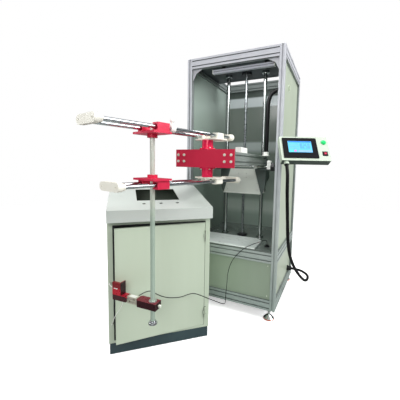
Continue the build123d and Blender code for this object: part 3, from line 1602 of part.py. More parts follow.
nodes = {
    "frame_profiles": frame_profiles(),
    "side_panels": side_panels(),
    "rear_panels": rear_panels(),
    "lower_front_panel": lower_front_panel(),
    "panel_screws": panel_screws(),
    "levelling_feet": levelling_feet(),
    "foot_pads": foot_pads(),
    "shelf_base_plate": shelf_base_plate(),
    "shelf_cover_plate": shelf_cover_plate(),
    "top_plate": top_plate(),
    "lamp_bar": lamp_bar(),
    "guide_rods": guide_rods(),
    "screw_bearings": screw_bearings(),
    "lift_motor": lift_motor(),
    "electrics_plate": electrics_plate(),
    "cable_glands": cable_glands(),
    "lead_screw": lead_screw(),
    "carriage_plate": carriage_plate(),
    "carriage_body": carriage_body(),
    "lift_bearings": lift_bearings(),
    "feed_beams": feed_beams(),
    "shaft_bearings": shaft_bearings(),
    "feed_motor": feed_motor(),
    "beam_fittings": beam_fittings(),
    "cross_shaft": cross_shaft(),
    "feed_handwheel": feed_handwheel(),
    "feed_rams": feed_rams(),
    "front_plate": front_plate(),
    "arm_posts": arm_posts(),
    "plate_bolts": plate_bolts(),
    "upper_arm_rods": arm_rods(upper_arm_front, upper_arm_rear, upper_rod_z),
    "upper_arm_blocks": arm_blocks(upper_arm_front, upper_arm_rear, upper_hub_face, upper_rod_z, 1),
    "lower_arm_rods": arm_rods(lower_arm_front, lower_arm_rear, lower_rod_z),
    "lower_arm_blocks": arm_blocks(lower_arm_front, lower_arm_rear, lower_hub_face, lower_rod_z, -1),
    "upper_slider": slider(upper_rod_z, 1),
    "lower_slider": slider(lower_rod_z, -1),
    "stop_collar": stop_collar(),
    "stop_knob": stop_knob(),
    "drop_rod": drop_rod(),
    "clamp_bush": clamp_bush(),
    "rod_clamp": rod_clamp(),
    "clamp_screw": clamp_screw(),
    "load_cell": load_cell(),
    "gripper_block": gripper_block(),
    "gripper_jaw": gripper_jaw(),
    "hmi_bracket": hmi_bracket(),
    "hmi_arm": hmi_arm(),
    "hmi_housing": hmi_housing(),
    "hmi_bezel": hmi_bezel(),
    "hmi_screen": hmi_screen(),
    "start_button": start_button(),
    "power_switch": power_switch(),
    "console_plinth": console_plinth(),
    "console_body": console_body(),
    "console_door": console_door(),
    "console_top": console_top(),
}
cords = {
    "sensor_cable": sensor_cable(),
    "hmi_hose": hmi_hose(),
    "carriage_hose": carriage_hose(),
    "tie_strings": tie_strings(),
}

rigid = Compound(children=[Compound(children=pieces) for pieces in nodes.values()])
overall = rigid.bounding_box()
origin = Vector(overall.center().X, overall.center().Y, overall.min.Z)
to_origin = Pos(-origin.X, -origin.Y, -origin.Z)
for name, pieces in {**nodes, **cords}.items():
    export_step(to_origin * Compound(children=pieces), f"parts/{name}.step")
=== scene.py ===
"""Looks of the drawer fatigue tester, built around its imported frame."""
import math

import bmesh
import bpy
from mathutils import Matrix, Vector


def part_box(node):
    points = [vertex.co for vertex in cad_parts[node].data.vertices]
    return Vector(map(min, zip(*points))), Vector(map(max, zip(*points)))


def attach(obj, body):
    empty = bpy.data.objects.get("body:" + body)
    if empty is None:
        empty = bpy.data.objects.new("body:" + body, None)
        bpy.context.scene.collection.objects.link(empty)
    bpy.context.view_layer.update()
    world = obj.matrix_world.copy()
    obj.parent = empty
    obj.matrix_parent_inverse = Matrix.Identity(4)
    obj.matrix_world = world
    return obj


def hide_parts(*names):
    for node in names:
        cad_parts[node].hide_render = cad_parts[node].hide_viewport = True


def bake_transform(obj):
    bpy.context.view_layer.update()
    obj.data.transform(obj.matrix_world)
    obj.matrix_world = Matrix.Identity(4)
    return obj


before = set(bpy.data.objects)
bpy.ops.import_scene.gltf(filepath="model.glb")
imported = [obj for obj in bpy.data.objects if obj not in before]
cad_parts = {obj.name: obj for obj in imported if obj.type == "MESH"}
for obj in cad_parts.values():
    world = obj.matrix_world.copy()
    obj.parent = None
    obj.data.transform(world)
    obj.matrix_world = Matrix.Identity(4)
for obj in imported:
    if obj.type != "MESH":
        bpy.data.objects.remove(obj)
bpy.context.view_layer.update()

# The cabinet's front left floor corner in the frame. Lengths below are in
# cabinet millimetres until cab() turns them into places of the frame.
CABINET_CORNER = Vector((-0.365692, 0.165687, 0.0))
MM = 0.001


def cab(x, y, z):
    """A place given in cabinet millimetres, as a point of the frame in metres."""
    return CABINET_CORNER + Vector((x, y, z)) * MM


def cab_route(points):
    """A route given in cabinet millimetres, as places of the frame."""
    return [cab(*point) for point in points]


# Camera
CAMERA_PLACE = (0.753908, -1.727813, 1.1697)
CAMERA_YAW = 25.3244
CAMERA_PITCH = -5.4023
CAMERA_ROLL = 1.0684
LENS = 23.501
SENSOR_WIDTH = 36.0
CAMERA_SHIFT = (-0.0266, -0.0289)
CAMERA_REACH = 60.0


def make_camera():
    """The camera at the photograph's viewing angle."""
    data = bpy.data.cameras.new("view_camera")
    data.lens = LENS
    data.sensor_width = SENSOR_WIDTH
    data.shift_x = CAMERA_SHIFT[0]
    data.shift_y = CAMERA_SHIFT[1]
    data.clip_end = CAMERA_REACH
    camera = bpy.data.objects.new("view_camera", data)
    turn = Matrix.Rotation(math.radians(CAMERA_YAW), 4, "Z")
    turn = turn @ Matrix.Rotation(math.radians(90.0 + CAMERA_PITCH), 4, "X")
    turn = turn @ Matrix.Rotation(math.radians(CAMERA_ROLL), 4, "Z")
    camera.matrix_world = Matrix.Translation(CAMERA_PLACE) @ turn
    bpy.context.scene.collection.objects.link(camera)
    bpy.context.scene.camera = camera


make_camera()


# Materials
def srgb(red, green, blue):
    """A screen colour from 0 to 255 as a linear shader colour."""
    channels = []
    for value in (red, green, blue):
        value = value / 255
        if value <= 0.04045:
            channels.append(value / 12.92)
        else:
            channels.append(((value + 0.055) / 1.055) ** 2.4)
    return (*channels, 1.0)


def add_node(tree, kind, **settings):
    """A new shader node with its settings."""
    node = tree.nodes.new(kind)
    for key, value in settings.items():
        setattr(node, key, value)
    return node


def noise_node(tree, coordinate, scale, detail=3.0, stretch=(1.0, 1.0, 1.0)):
    """Noise in the piece's own coordinates, drawn out along an axis by stretch."""
    mapping = add_node(tree, "ShaderNodeMapping")
    mapping.inputs["Scale"].default_value = stretch
    tree.links.new(coordinate, mapping.inputs["Vector"])
    node = add_node(tree, "ShaderNodeTexNoise")
    node.inputs["Scale"].default_value = scale
    node.inputs["Detail"].default_value = detail
    tree.links.new(mapping.outputs["Vector"], node.inputs["Vector"])
    return node.outputs["Fac"]


def range_node(tree, source, low, high, from_low=0.3, from_high=0.7):
    """A value carried over from one range to another."""
    node = add_node(tree, "ShaderNodeMapRange")
    node.inputs["From Min"].default_value = from_low
    node.inputs["From Max"].default_value = from_high
    node.inputs["To Min"].default_value = low
    node.inputs["To Max"].default_value = high
    tree.links.new(source, node.inputs["Value"])
    return node.outputs["Result"]


def mix_node(tree, factor, first, second):
    """A colour between two colours or sockets."""
    node = add_node(tree, "ShaderNodeMix", data_type="RGBA")
    tree.links.new(factor, node.inputs["Factor"])
    for value, place in ((first, 6), (second, 7)):
        if isinstance(value, tuple):
            node.inputs[place].default_value = value
        else:
            tree.links.new(value, node.inputs[place])
    return node.outputs[2]


# The grain's height in metres, and the height in millimetres that a ramp covers
GRAIN_HEIGHT = 0.00005
RAMP_HEIGHT = 2000.0


def height_ramp(tree, coordinates, stops):
    """A colour that changes with height: stops are pairs of a height in millimetres and a colour."""
    parts = add_node(tree, "ShaderNodeSeparateXYZ")
    tree.links.new(coordinates.outputs["Object"], parts.inputs["Vector"])
    share = range_node(tree, parts.outputs["Z"], 0.0, 1.0, 0.0, RAMP_HEIGHT * MM)
    ramp = add_node(tree, "ShaderNodeValToRGB")
    tree.links.new(share, ramp.inputs["Fac"])
    elements = ramp.color_ramp.elements
    for element, (height, colour) in zip(elements, (stops[0], stops[-1])):
        element.position = height / RAMP_HEIGHT
        element.color = colour
    for height, colour in stops[1:-1]:
        elements.new(height / RAMP_HEIGHT).color = colour
    return ramp.outputs["Color"]


def facing_mask(tree, coordinates, centre=None, direction=None, low=-0.02, high=0.02):
    """1 on faces that look at a centre, or along a direction of the piece, and 0 elsewhere."""
    product = add_node(tree, "ShaderNodeVectorMath", operation="DOT_PRODUCT")
    tree.links.new(coordinates.outputs["Normal"], product.inputs[0])
    if centre is None:
        product.inputs[1].default_value = direction
        return range_node(tree, product.outputs["Value"], 0.0, 1.0, low, high)
    reach = add_node(tree, "ShaderNodeVectorMath", operation="SUBTRACT")
    tree.links.new(coordinates.outputs["Object"], reach.inputs[0])
    reach.inputs[1].default_value = centre
    tree.links.new(reach.outputs["Vector"], product.inputs[1])
    return range_node(tree, product.outputs["Value"], 1.0, 0.0, low, high)


def surface(name, colour, second, rough=0.45, rough_spread=0.08, metallic=0.0, patch=9.0,
            stretch=(1.0, 1.0, 1.0), grain=900.0, grain_stretch=(1.0, 1.0, 1.0), depth=0.05,
            coat=0.0, coat_rough=0.1, specular=0.5, painted_shade=None, centre=None, direction=None,
            mask_from=-0.02, mask_to=0.02, height_tint_and_shade=None):
    """A finish with cloudy colour, uneven gloss and a fine raised grain. The faces that look
    at centre, or along direction, take the painted shade colour, or its height ramp, instead.
    A height tint multiplies the outer colour by height: painted shade and reflection on some
    finishes, a real paint change on others."""
    material = bpy.data.materials.new(name)
    material.use_nodes = True
    tree = material.node_tree
    shader = tree.nodes["Principled BSDF"]
    shader.inputs["Metallic"].default_value = metallic
    shader.inputs["Coat Weight"].default_value = coat
    shader.inputs["Coat Roughness"].default_value = coat_rough
    shader.inputs["Specular IOR Level"].default_value = specular
    coordinates = add_node(tree, "ShaderNodeTexCoord")
    coordinate = coordinates.outputs["Object"]
    cloud = noise_node(tree, coordinate, patch, 4.0, stretch)
    shade = range_node(tree, cloud, 0.0, 1.0)
    base = mix_node(tree, shade, colour, second)
    # Height tint: painted shade and reflection on some finishes, a real paint change on others.
    if height_tint_and_shade is not None:
        tint_and_shade_node = add_node(tree, "ShaderNodeMix", data_type="RGBA", blend_type="MULTIPLY")
        tint_and_shade_node.inputs["Factor"].default_value = 1.0
        tree.links.new(base, tint_and_shade_node.inputs[6])
        tree.links.new(height_ramp(tree, coordinates, height_tint_and_shade), tint_and_shade_node.inputs[7])
        base = tint_and_shade_node.outputs[2]
    # Painted shade: faces that look at centre, or along direction, take a darker colour or a height
    # ramp of painted shade and reflection bands.
    if isinstance(painted_shade, list):
        painted_shade = height_ramp(tree, coordinates, painted_shade)
    if painted_shade is not None:
        mask = facing_mask(tree, coordinates, centre, direction, mask_from, mask_to)
        base = mix_node(tree, mask, base, painted_shade)
    tree.links.new(base, shader.inputs["Base Color"])
    smear = noise_node(tree, coordinate, patch * 3.1, 5.0, stretch)
    gloss = range_node(tree, smear, rough - rough_spread, rough + rough_spread)
    tree.links.new(gloss, shader.inputs["Roughness"])
    fine = noise_node(tree, coordinate, grain, 2.0, grain_stretch)
    bump = add_node(tree, "ShaderNodeBump")
    bump.inputs["Strength"].default_value = depth
    bump.inputs["Distance"].default_value = GRAIN_HEIGHT
    tree.links.new(fine, bump.inputs["Height"])
    tree.links.new(bump.outputs["Normal"], shader.inputs["Normal"])
    return material


def dress(material, *nodes):
    """Gives a finish to nodes of the frame."""
    for name in nodes:
        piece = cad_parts[name]
        if not piece.material_slots:
            piece.data.materials.append(material)
        for slot in piece.material_slots:
            slot.material = material


def middle_of(name):
    """The middle of a node's box."""
    low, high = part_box(name)
    return tuple((Vector(low) + Vector(high)) / 2)


BOX_YAW = 25.3
BOX_TILT = 33.0
cabinet_heart = middle_of("frame_profiles")
console_heart = middle_of("console_body")
box_yaw = math.radians(BOX_YAW)
box_tilt = math.radians(BOX_TILT)
box_across = Vector((math.cos(box_yaw), math.sin(box_yaw), 0.0))
box_normal = Vector((math.sin(box_yaw) * math.cos(box_tilt),
                     -math.cos(box_yaw) * math.cos(box_tilt), math.sin(box_tilt)))
box_up = box_normal.cross(box_across)
box_down = tuple(-box_up)

# Painted shade: faces that look into the cabinet are darker, and lighter near the top where light
# comes in at the roof.
panel_paint = surface(
    "panel_paint", srgb(205, 217, 196), srgb(197, 210, 189), rough=0.34, rough_spread=0.05,
    patch=3.0, stretch=(1.0, 1.0, 0.25), grain=1400.0, depth=0.1, coat=0.25, coat_rough=0.12,
    painted_shade=[(500, srgb(136, 152, 142)), (1100, srgb(134, 150, 140)), (1900, srgb(156, 170, 162))],
    centre=cabinet_heart)
# Painted shade and painted reflection: inward faces are dark, with light bands standing in for
# reflections.
rear_paint = surface(
    "rear_panel_paint", srgb(196, 208, 190), srgb(188, 200, 182), rough=0.36, rough_spread=0.05,
    patch=3.0, stretch=(1.0, 1.0, 0.25), grain=1400.0, depth=0.1, coat=0.2, coat_rough=0.14,
    painted_shade=[(520, srgb(136, 152, 142)), (640, srgb(146, 162, 152)), (700, srgb(180, 194, 184)),
           (780, srgb(172, 186, 176)), (820, srgb(138, 152, 142)), (1280, srgb(104, 116, 107)),
           (1330, srgb(152, 162, 159)), (1390, srgb(154, 164, 161)), (1410, srgb(94, 104, 96)),
           (1755, srgb(98, 108, 100)), (1765, srgb(188, 197, 198)), (1850, srgb(196, 204, 206)),
           (1860, srgb(74, 84, 79)), (1920, srgb(62, 72, 67))],
    centre=cabinet_heart)
# Painted shade: the side panels' pale paint, darkened for the shade the front lies in; inward faces
# are darker still.
shaded_front_paint = surface(
    "front_panel_paint_shaded", srgb(168, 185, 164), srgb(158, 176, 154), rough=0.36, rough_spread=0.05,
    patch=3.0, stretch=(1.0, 1.0, 0.25), grain=1400.0, depth=0.1, coat=0.25, coat_rough=0.12,
    painted_shade=srgb(96, 108, 98), centre=cabinet_heart)
# Painted shade: faces that look into the console, seen at the door gap, are dark.
console_paint = surface(
    "console_paint", srgb(198, 211, 190), srgb(189, 203, 181), rough=0.38, rough_spread=0.06,
    patch=3.5, stretch=(1.0, 1.0, 0.2), grain=1200.0, depth=0.12, coat=0.2, coat_rough=0.18,
    painted_shade=srgb(84, 93, 82), centre=console_heart)
top_paint = surface(
    "console_top_paint", srgb(206, 213, 207), srgb(198, 206, 199), rough=0.34, rough_spread=0.02,
    patch=2.0, grain=1200.0, depth=0.12, coat=0.35, coat_rough=0.14,
    painted_shade=srgb(84, 93, 82), centre=console_heart)
plinth_paint = surface(
    "plinth_paint", srgb(56, 76, 80), srgb(46, 64, 68), rough=0.42, rough_spread=0.08,
    patch=6.0, grain=1300.0, depth=0.15, coat=0.1)
# Painted shade: faces that look into the cabinet are darker; the height tint is painted shade and
# green reflection, greener and darker towards the floor.
aluminium = surface(
    "clear_anodised_aluminium", srgb(216, 218, 224), srgb(206, 208, 215), rough=0.4,
    rough_spread=0.05, metallic=0.12, patch=14.0, grain=2600.0, depth=0.08,
    painted_shade=srgb(120, 128, 126), centre=cabinet_heart, mask_from=-0.01, mask_to=0.01,
    height_tint_and_shade=[(60, srgb(206, 222, 208)), (600, srgb(224, 234, 222)), (1200, srgb(246, 250, 248)),
          (1990, srgb(255, 255, 255))])
beam_aluminium = surface(
    "beam_aluminium", srgb(158, 166, 161), srgb(147, 156, 150), rough=0.36,
    rough_spread=0.05, metallic=0.3, patch=14.0, grain=2600.0, depth=0.08)
chrome = surface(
    "hard_chrome", srgb(204, 210, 206), srgb(190, 197, 192), rough=0.14, rough_spread=0.04,
    metallic=1.0, patch=25.0, grain=3000.0, depth=0.02)
# Painted shade and reflection: darker and greener lower down, white higher up.
rod_chrome = surface(
    "drop_rod_chrome", srgb(232, 238, 228), srgb(224, 231, 220), rough=0.22, rough_spread=0.04,
    metallic=0.3, patch=25.0, grain=3000.0, depth=0.02, coat=0.3,
    height_tint_and_shade=[(300, srgb(190, 206, 198)), (860, srgb(196, 211, 203)), (1000, srgb(250, 254, 248)),
          (1400, srgb(255, 255, 255))])
chrome_bright = surface(
    "bright_chrome", srgb(184, 189, 191), srgb(168, 174, 177), rough=0.1, rough_spread=0.03,
    metallic=1.0, patch=30.0, grain=3000.0, depth=0.02)
red = surface(
    "red_anodised", srgb(226, 40, 80), srgb(216, 34, 72), rough=0.36, rough_spread=0.05,
    metallic=0.15, patch=18.0, grain=2400.0, depth=0.08, coat=0.15, coat_rough=0.25)
plate_red = surface(
    "front_plate_red", srgb(210, 34, 70), srgb(203, 30, 66), rough=0.42, rough_spread=0.05,
    metallic=0.1, patch=10.0, grain=2400.0, depth=0.08, coat=0.1, coat_rough=0.3)
red_bright = surface(
    "red_anodised_turned", srgb(250, 40, 92), srgb(240, 34, 84), rough=0.24, rough_spread=0.05,
    metallic=0.15, patch=24.0, grain=2400.0, grain_stretch=(0.3, 0.3, 4.0), depth=0.08, coat=0.35)
GRIPPER_ANGLE = math.radians(183.5)
toward_clamp = (-math.cos(GRIPPER_ANGLE), -math.sin(GRIPPER_ANGLE), 0.0)
UPWARD = (0.0, 0.0, 1.0)
# Painted shade: faces that do not look up are dark red.
block_red = surface(
    "gripper_block_red", srgb(206, 30, 58), srgb(186, 24, 50), rough=0.3, rough_spread=0.05,
    metallic=0.3, patch=30.0, grain=2400.0, depth=0.08, coat=0.25, coat_rough=0.2,
    painted_shade=srgb(66, 12, 20), direction=UPWARD, mask_from=0.6, mask_to=0.4)
# Painted shade: the face toward the clamp is near black, and the jaw above 469 mm is darker.
jaw_red = surface(
    "gripper_jaw_red", srgb(214, 24, 50), srgb(192, 18, 42), rough=0.3, rough_spread=0.05,
    metallic=0.3, patch=30.0, grain=2400.0, depth=0.08, coat=0.25, coat_rough=0.2,
    painted_shade=srgb(44, 12, 18), direction=toward_clamp, mask_from=0.5, mask_to=0.7,
    height_tint_and_shade=[(400, srgb(255, 255, 255)), (466, srgb(255, 255, 255)), (469, srgb(176, 150, 150)),
          (510, srgb(168, 150, 150))])
# Painted shade: faces that do not look up are near black.
dark_red = surface(
    "dark_red_anodised", srgb(128, 34, 52), srgb(112, 27, 44), rough=0.3, rough_spread=0.05,
    metallic=0.3, patch=30.0, grain=2400.0, depth=0.08, coat=0.1, coat_rough=0.3,
    specular=0.3, painted_shade=srgb(48, 4, 13), direction=UPWARD, mask_from=0.6, mask_to=0.4)
ivory = surface(
    "ivory_nylon", srgb(252, 250, 238), srgb(247, 245, 231), rough=0.42, rough_spread=0.05,
    patch=24.0, grain=1800.0, depth=0.1)
white_plastic = surface(
    "white_plastic", srgb(250, 251, 246), srgb(243, 245, 239), rough=0.4, rough_spread=0.05,
    patch=30.0, grain=1800.0, depth=0.08)
black_plastic = surface(
    "black_plastic", srgb(20, 21, 24), srgb(30, 31, 34), rough=0.42, rough_spread=0.08,
    patch=40.0, grain=1500.0, depth=0.2)
gland_plastic = surface(
    "gland_plastic", srgb(255, 255, 255), srgb(242, 243, 241), rough=0.42, rough_spread=0.06,
    patch=40.0, grain=1500.0, depth=0.15, specular=0.3,
    height_tint_and_shade=[(100, srgb(16, 17, 20)), (1600, srgb(18, 19, 22)), (1610, srgb(201, 213, 192)),
          (2000, srgb(201, 213, 192))])
motor_black = surface(
    "motor_enamel", srgb(18, 19, 21), srgb(27, 28, 31), rough=0.5, rough_spread=0.1,
    patch=20.0, grain=900.0, depth=0.3)
black_steel = surface(
    "blackened_steel", srgb(40, 42, 44), srgb(54, 56, 58), rough=0.36, rough_spread=0.08,
    metallic=0.8, patch=40.0, grain=1800.0, depth=0.08)
roof_black = surface(
    "roof_enamel", srgb(38, 43, 50), srgb(48, 54, 62), rough=0.4, rough_spread=0.06,
    patch=5.0, grain=1200.0, depth=0.1)
shelf_grey = surface(
    "shelf_enamel", srgb(108, 117, 112), srgb(100, 109, 104), rough=0.24, rough_spread=0.04,
    patch=4.0, grain=1200.0, depth=0.05, coat=0.3, coat_rough=0.1)
bright_steel = surface(
    "brushed_cover_steel", srgb(232, 240, 236), srgb(224, 232, 228), rough=0.3,
    rough_spread=0.04, metallic=0.1, patch=5.0, stretch=(1.0, 4.0, 1.0), grain=600.0,
    grain_stretch=(0.08, 3.0, 1.0), depth=0.06)
lamp_white = surface(
    "lamp_lens", srgb(206, 209, 218), srgb(196, 199, 209), rough=0.34, rough_spread=0.04,
    metallic=0.2, patch=12.0, grain=1500.0, depth=0.05)
light_plate = surface(
    "light_plate_paint", srgb(216, 221, 213), srgb(207, 212, 204), rough=0.42,
    rough_spread=0.05, patch=9.0, grain=1300.0, depth=0.1)
dark_green = surface(
    "dark_green_paint", srgb(86, 98, 94), srgb(76, 88, 84), rough=0.42, rough_spread=0.06,
    patch=7.0, grain=1300.0, depth=0.12)
bolt_steel = surface(
    "zinc_bolts", srgb(232, 240, 224), srgb(220, 229, 212), rough=0.32, rough_spread=0.06,
    metallic=0.2, patch=60.0, grain=2400.0, depth=0.08)
screw_steel = surface(
    "screw_steel", srgb(150, 155, 157), srgb(128, 133, 136), rough=0.3, rough_spread=0.08,
    metallic=0.95, patch=40.0, grain=2400.0, depth=0.08)
guide_steel = surface(
    "guide_rod_steel", srgb(172, 177, 176), srgb(158, 163, 162), rough=0.16, rough_spread=0.04,
    metallic=1.0, patch=20.0, grain=3000.0, depth=0.02)
bearing_alloy = surface(
    "bearing_alloy", srgb(186, 190, 186), srgb(170, 174, 170), rough=0.36, rough_spread=0.06,
    metallic=0.7, patch=30.0, grain=2400.0, depth=0.08)
cell_steel = surface(
    "load_cell_steel", srgb(206, 203, 186), srgb(188, 185, 168), rough=0.32, rough_spread=0.06,
    metallic=0.5, patch=30.0, grain=1500.0, grain_stretch=(0.3, 4.0, 4.0), depth=0.15)
electrics_grey = surface(
    "electrics_grey", srgb(160, 164, 162), srgb(146, 150, 148), rough=0.5, rough_spread=0.06,
    patch=14.0, grain=1200.0, depth=0.1)
# Painted shade: the faces that look down are dark green.
box_grey = surface(
    "operator_box_paint", srgb(204, 218, 200), srgb(196, 210, 192), rough=0.36,
    rough_spread=0.05, patch=12.0, grain=1500.0, depth=0.12, coat=0.2,
    painted_shade=srgb(52, 72, 60), direction=box_down, mask_from=0.55, mask_to=0.75)
bracket_green = surface(
    "bracket_paint", srgb(60, 78, 68), srgb(50, 68, 58), rough=0.4, rough_spread=0.06,
    patch=20.0, grain=1500.0, depth=0.15, coat=0.1)
bezel_black = surface(
    "bezel_plastic", srgb(8, 9, 13), srgb(12, 13, 18), rough=0.4, rough_spread=0.05,
    patch=20.0, grain=1800.0, depth=0.1, specular=0.15)
button_green = surface(
    "green_button", srgb(6, 226, 122), srgb(5, 212, 112), rough=0.28, rough_spread=0.05,
    patch=60.0, grain=2000.0, depth=0.05, coat=0.4)
switch_red = surface(
    "red_switch", srgb(84, 8, 20), srgb(70, 6, 16), rough=0.28, rough_spread=0.05,
    patch=60.0, grain=2000.0, depth=0.05, coat=0.3)
switch_bright = surface(
    "switch_lamp_red", srgb(236, 52, 92), srgb(222, 40, 80), rough=0.25, rough_spread=0.05,
    patch=60.0, grain=2000.0, depth=0.05, coat=0.3)
label_white = surface(
    "bare_label", srgb(238, 240, 234), srgb(230, 232, 225), rough=0.4, rough_spread=0.05,
    patch=40.0, grain=1800.0, depth=0.05)
orange_rubber = surface(
    "orange_rubber", srgb(226, 104, 62), srgb(208, 92, 52), rough=0.6, rough_spread=0.08,
    patch=40.0, grain=1500.0, depth=0.2)
hose_black = surface(
    "hose_rubber", srgb(4, 4, 6), srgb(8, 8, 11), rough=0.5, rough_spread=0.08,
    patch=30.0, grain=1500.0, depth=0.2, specular=0.2)
cable_grey = surface(
    "cable_jacket", srgb(20, 28, 27), srgb(28, 36, 35), rough=0.45, rough_spread=0.08,
    patch=40.0, grain=1800.0, depth=0.15)
string_white = surface(
    "white_cotton", srgb(254, 254, 250), srgb(244, 244, 238), rough=0.8, rough_spread=0.08,
    patch=80.0, grain=1600.0, depth=0.3)

dress(aluminium, "frame_profiles")
dress(beam_aluminium, "feed_beams")
dress(panel_paint, "side_panels")
dress(rear_paint, "rear_panels")
dress(shaded_front_paint, "lower_front_panel")
dress(bolt_steel, "panel_screws", "plate_bolts", "clamp_screw")
dress(chrome, "levelling_feet", "cross_shaft")
dress(rod_chrome, "drop_rod")
dress(guide_steel, "guide_rods")
dress(chrome_bright, "upper_arm_rods", "lower_arm_rods")
dress(orange_rubber, "foot_pads")
dress(shelf_grey, "shelf_base_plate")
dress(bright_steel, "shelf_cover_plate")
dress(roof_black, "top_plate")
dress(lamp_white, "lamp_bar")
dress(black_steel, "screw_bearings")
dress(motor_black, "lift_motor", "feed_motor")
dress(electrics_grey, "electrics_plate")
dress(gland_plastic, "cable_glands")
dress(black_plastic, "feed_handwheel")
dress(screw_steel, "lead_screw")
dress(light_plate, "carriage_plate")
dress(dark_green, "carriage_body")
dress(bearing_alloy, "lift_bearings", "feed_rams", "clamp_bush")
dress(white_plastic, "shaft_bearings", "beam_fittings", "stop_collar", "stop_knob")
dress(plate_red, "front_plate")
dress(red, "upper_slider", "lower_slider")
dress(block_red, "gripper_block")
dress(jaw_red, "gripper_jaw")
dress(red_bright, "arm_posts")
dress(ivory, "upper_arm_blocks", "lower_arm_blocks")
dress(dark_red, "rod_clamp")
dress(cell_steel, "load_cell")
dress(box_grey, "hmi_housing")
dress(bracket_green, "hmi_bracket", "hmi_arm")
dress(bezel_black, "hmi_bezel", "hmi_screen")
dress(button_green, "start_button")
dress(switch_red, "power_switch")
dress(plinth_paint, "console_plinth")
dress(console_paint, "console_body", "console_door")
dress(top_paint, "console_top")


# Pieces
def keep(name, mesh, material, body):
    """Links a finished mesh and lets it ride on a body."""
    mesh.materials.append(material)
    piece = bpy.data.objects.new(name, mesh)
    bpy.context.scene.collection.objects.link(piece)
    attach(piece, body)
    return piece


def route_curve(name, route, radius):
    """A smooth NURBS line through space, with its route as control points."""
    curve = bpy.data.curves.new(name, "CURVE")
    curve.dimensions = "3D"
    curve.resolution_u = 10
    curve.bevel_depth = radius
    curve.bevel_resolution = 5
    curve.use_fill_caps = True
    spline = curve.splines.new("NURBS")
    spline.points.add(len(route) - 1)
    for point, place in zip(spline.points, route):
        point.co = (*place, 1.0)
    spline.order_u = 3
    spline.use_endpoint_u = True
    return curve


def line_points(name, route):
    """The points of a route's smooth line, as Blender draws it."""
    probe = bpy.data.objects.new(name + "_probe", route_curve(name + "_probe", route, 0.0))
    mesh = bpy.data.meshes.new_from_object(probe)
    points = [vertex.co.copy() for vertex in mesh.vertices]
    bpy.data.meshes.remove(mesh)
    bpy.data.objects.remove(probe)
    return points


def even_points(points, step):
    """Places at equal steps along a line."""
    lengths = [0.0]
    for before, after in zip(points, points[1:]):
        lengths.append(lengths[-1] + (after - before).length)
    count = max(2, round(lengths[-1] / step))
    places = []
    index = 0
    for number in range(count + 1):
        reach = lengths[-1] * number / count
        while index < len(points) - 2 and lengths[index + 1] < reach:
            index += 1
        span = lengths[index + 1] - lengths[index]
        share = (reach - lengths[index]) / span if span > 0 else 0.0
        places.append(points[index].lerp(points[index + 1], min(1.0, share)))
    return places


def join_rings(work, pairs):
    """Smooth walls between pairs of rings of vertices."""
    for low, high in pairs:
        for step in range(len(low)):
            following = (step + 1) % len(low)
            face = work.faces.new((low[step], low[following], high[following], high[step]))
            face.smooth = True


def tube_mesh(name, places, radii, sides=18):
    """A closed tube along places, with its own radius at each."""
    mesh = bpy.data.meshes.new(name)
    work = bmesh.new()
    side = Vector((0.0, 0.0, 1.0))
    rings = []
    for index, place in enumerate(places):
        before = places[max(index - 1, 0)]
        after = places[min(index + 1, len(places) - 1)]
        ahead = (after - before).normalized()
        if index == 0 and abs(ahead.z) > 0.9:
            side = Vector((1.0, 0.0, 0.0))
        side = (side - ahead * side.dot(ahead)).normalized()
        other = ahead.cross(side)
        ring = []
        for step in range(sides):
            angle = 2 * math.pi * step / sides
            offset = (side * math.cos(angle) + other * math.sin(angle)) * radii[index]
            ring.append(work.verts.new(place + offset))
        rings.append(ring)
    join_rings(work, zip(rings, rings[1:]))
    work.faces.new(list(reversed(rings[0])))
    work.faces.new(rings[-1])
    work.to_mesh(mesh)
    work.free()
    return mesh


# Cords
SENSOR_DIAMETER = 5.0 * MM
HOSE_DIAMETER = 22.0 * MM
CARRIAGE_HOSE_DIAMETER = 34.0 * MM
STRING_DIAMETER = 3.0 * MM
RIB_STEPS = 4
KNOT_STEPS = 48
KNOT_SIZE = 2.6 * MM

sensor_route = cab_route([
    (152.35, -807.52, 413), (150.76, -781.57, 413),
    (168, -748, 425), (206, -734, 438), (244, -730, 420), (281, -690, 392), (300, -635, 370),
    (314, -580, 352), (322, -520, 343), (340, -470, 334), (390, -448, 316), (447, -440, 303),
    (500, -420, 284), (515, -370, 254), (498, -310, 238), (470, -240, 230), (445, -170, 234),
    (428, -110, 272), (418, -78, 326), (428, -62, 388), (448, -48, 440), (484, -34, 488),
    (532, -14, 536), (584, 14, 562), (636, 60, 580), (662, 98, 585), (669, 117, 570),
    (669, 117, 541)])
hmi_route = cab_route([
    (836.69, -157.86, 1173.16), (850.65, -187.41, 1122.84), (852, -190, 1020), (854, -165, 900),
    (856, -130, 774), (854, -80, 665), (855, -15, 565), (862, 60, 475), (878, 150, 385),
    (900, 245, 300), (935, 345, 215), (952, 455, 172), (955, 550, 168), (936, 595, 171),
    (902, 629, 176), (857, 648, 180), (792.5, 648, 180)])
carriage_route = cab_route([
    (723.5, 300, 1780), (652, 300, 1780), (592, 302, 1720), (590, 303, 1560), (590, 303, 1275)])
upper_string_route = cab_route([
    (-38.96, -812.62, 456), (23.1, -856.5, 466), (60.91, -852.19, 466)])
lower_string_route = cab_route([
    (79.4, -827.01, 398), (79.4, -827.01, 362), (8, -827, 272), (-29.71, -805.73, 202)])


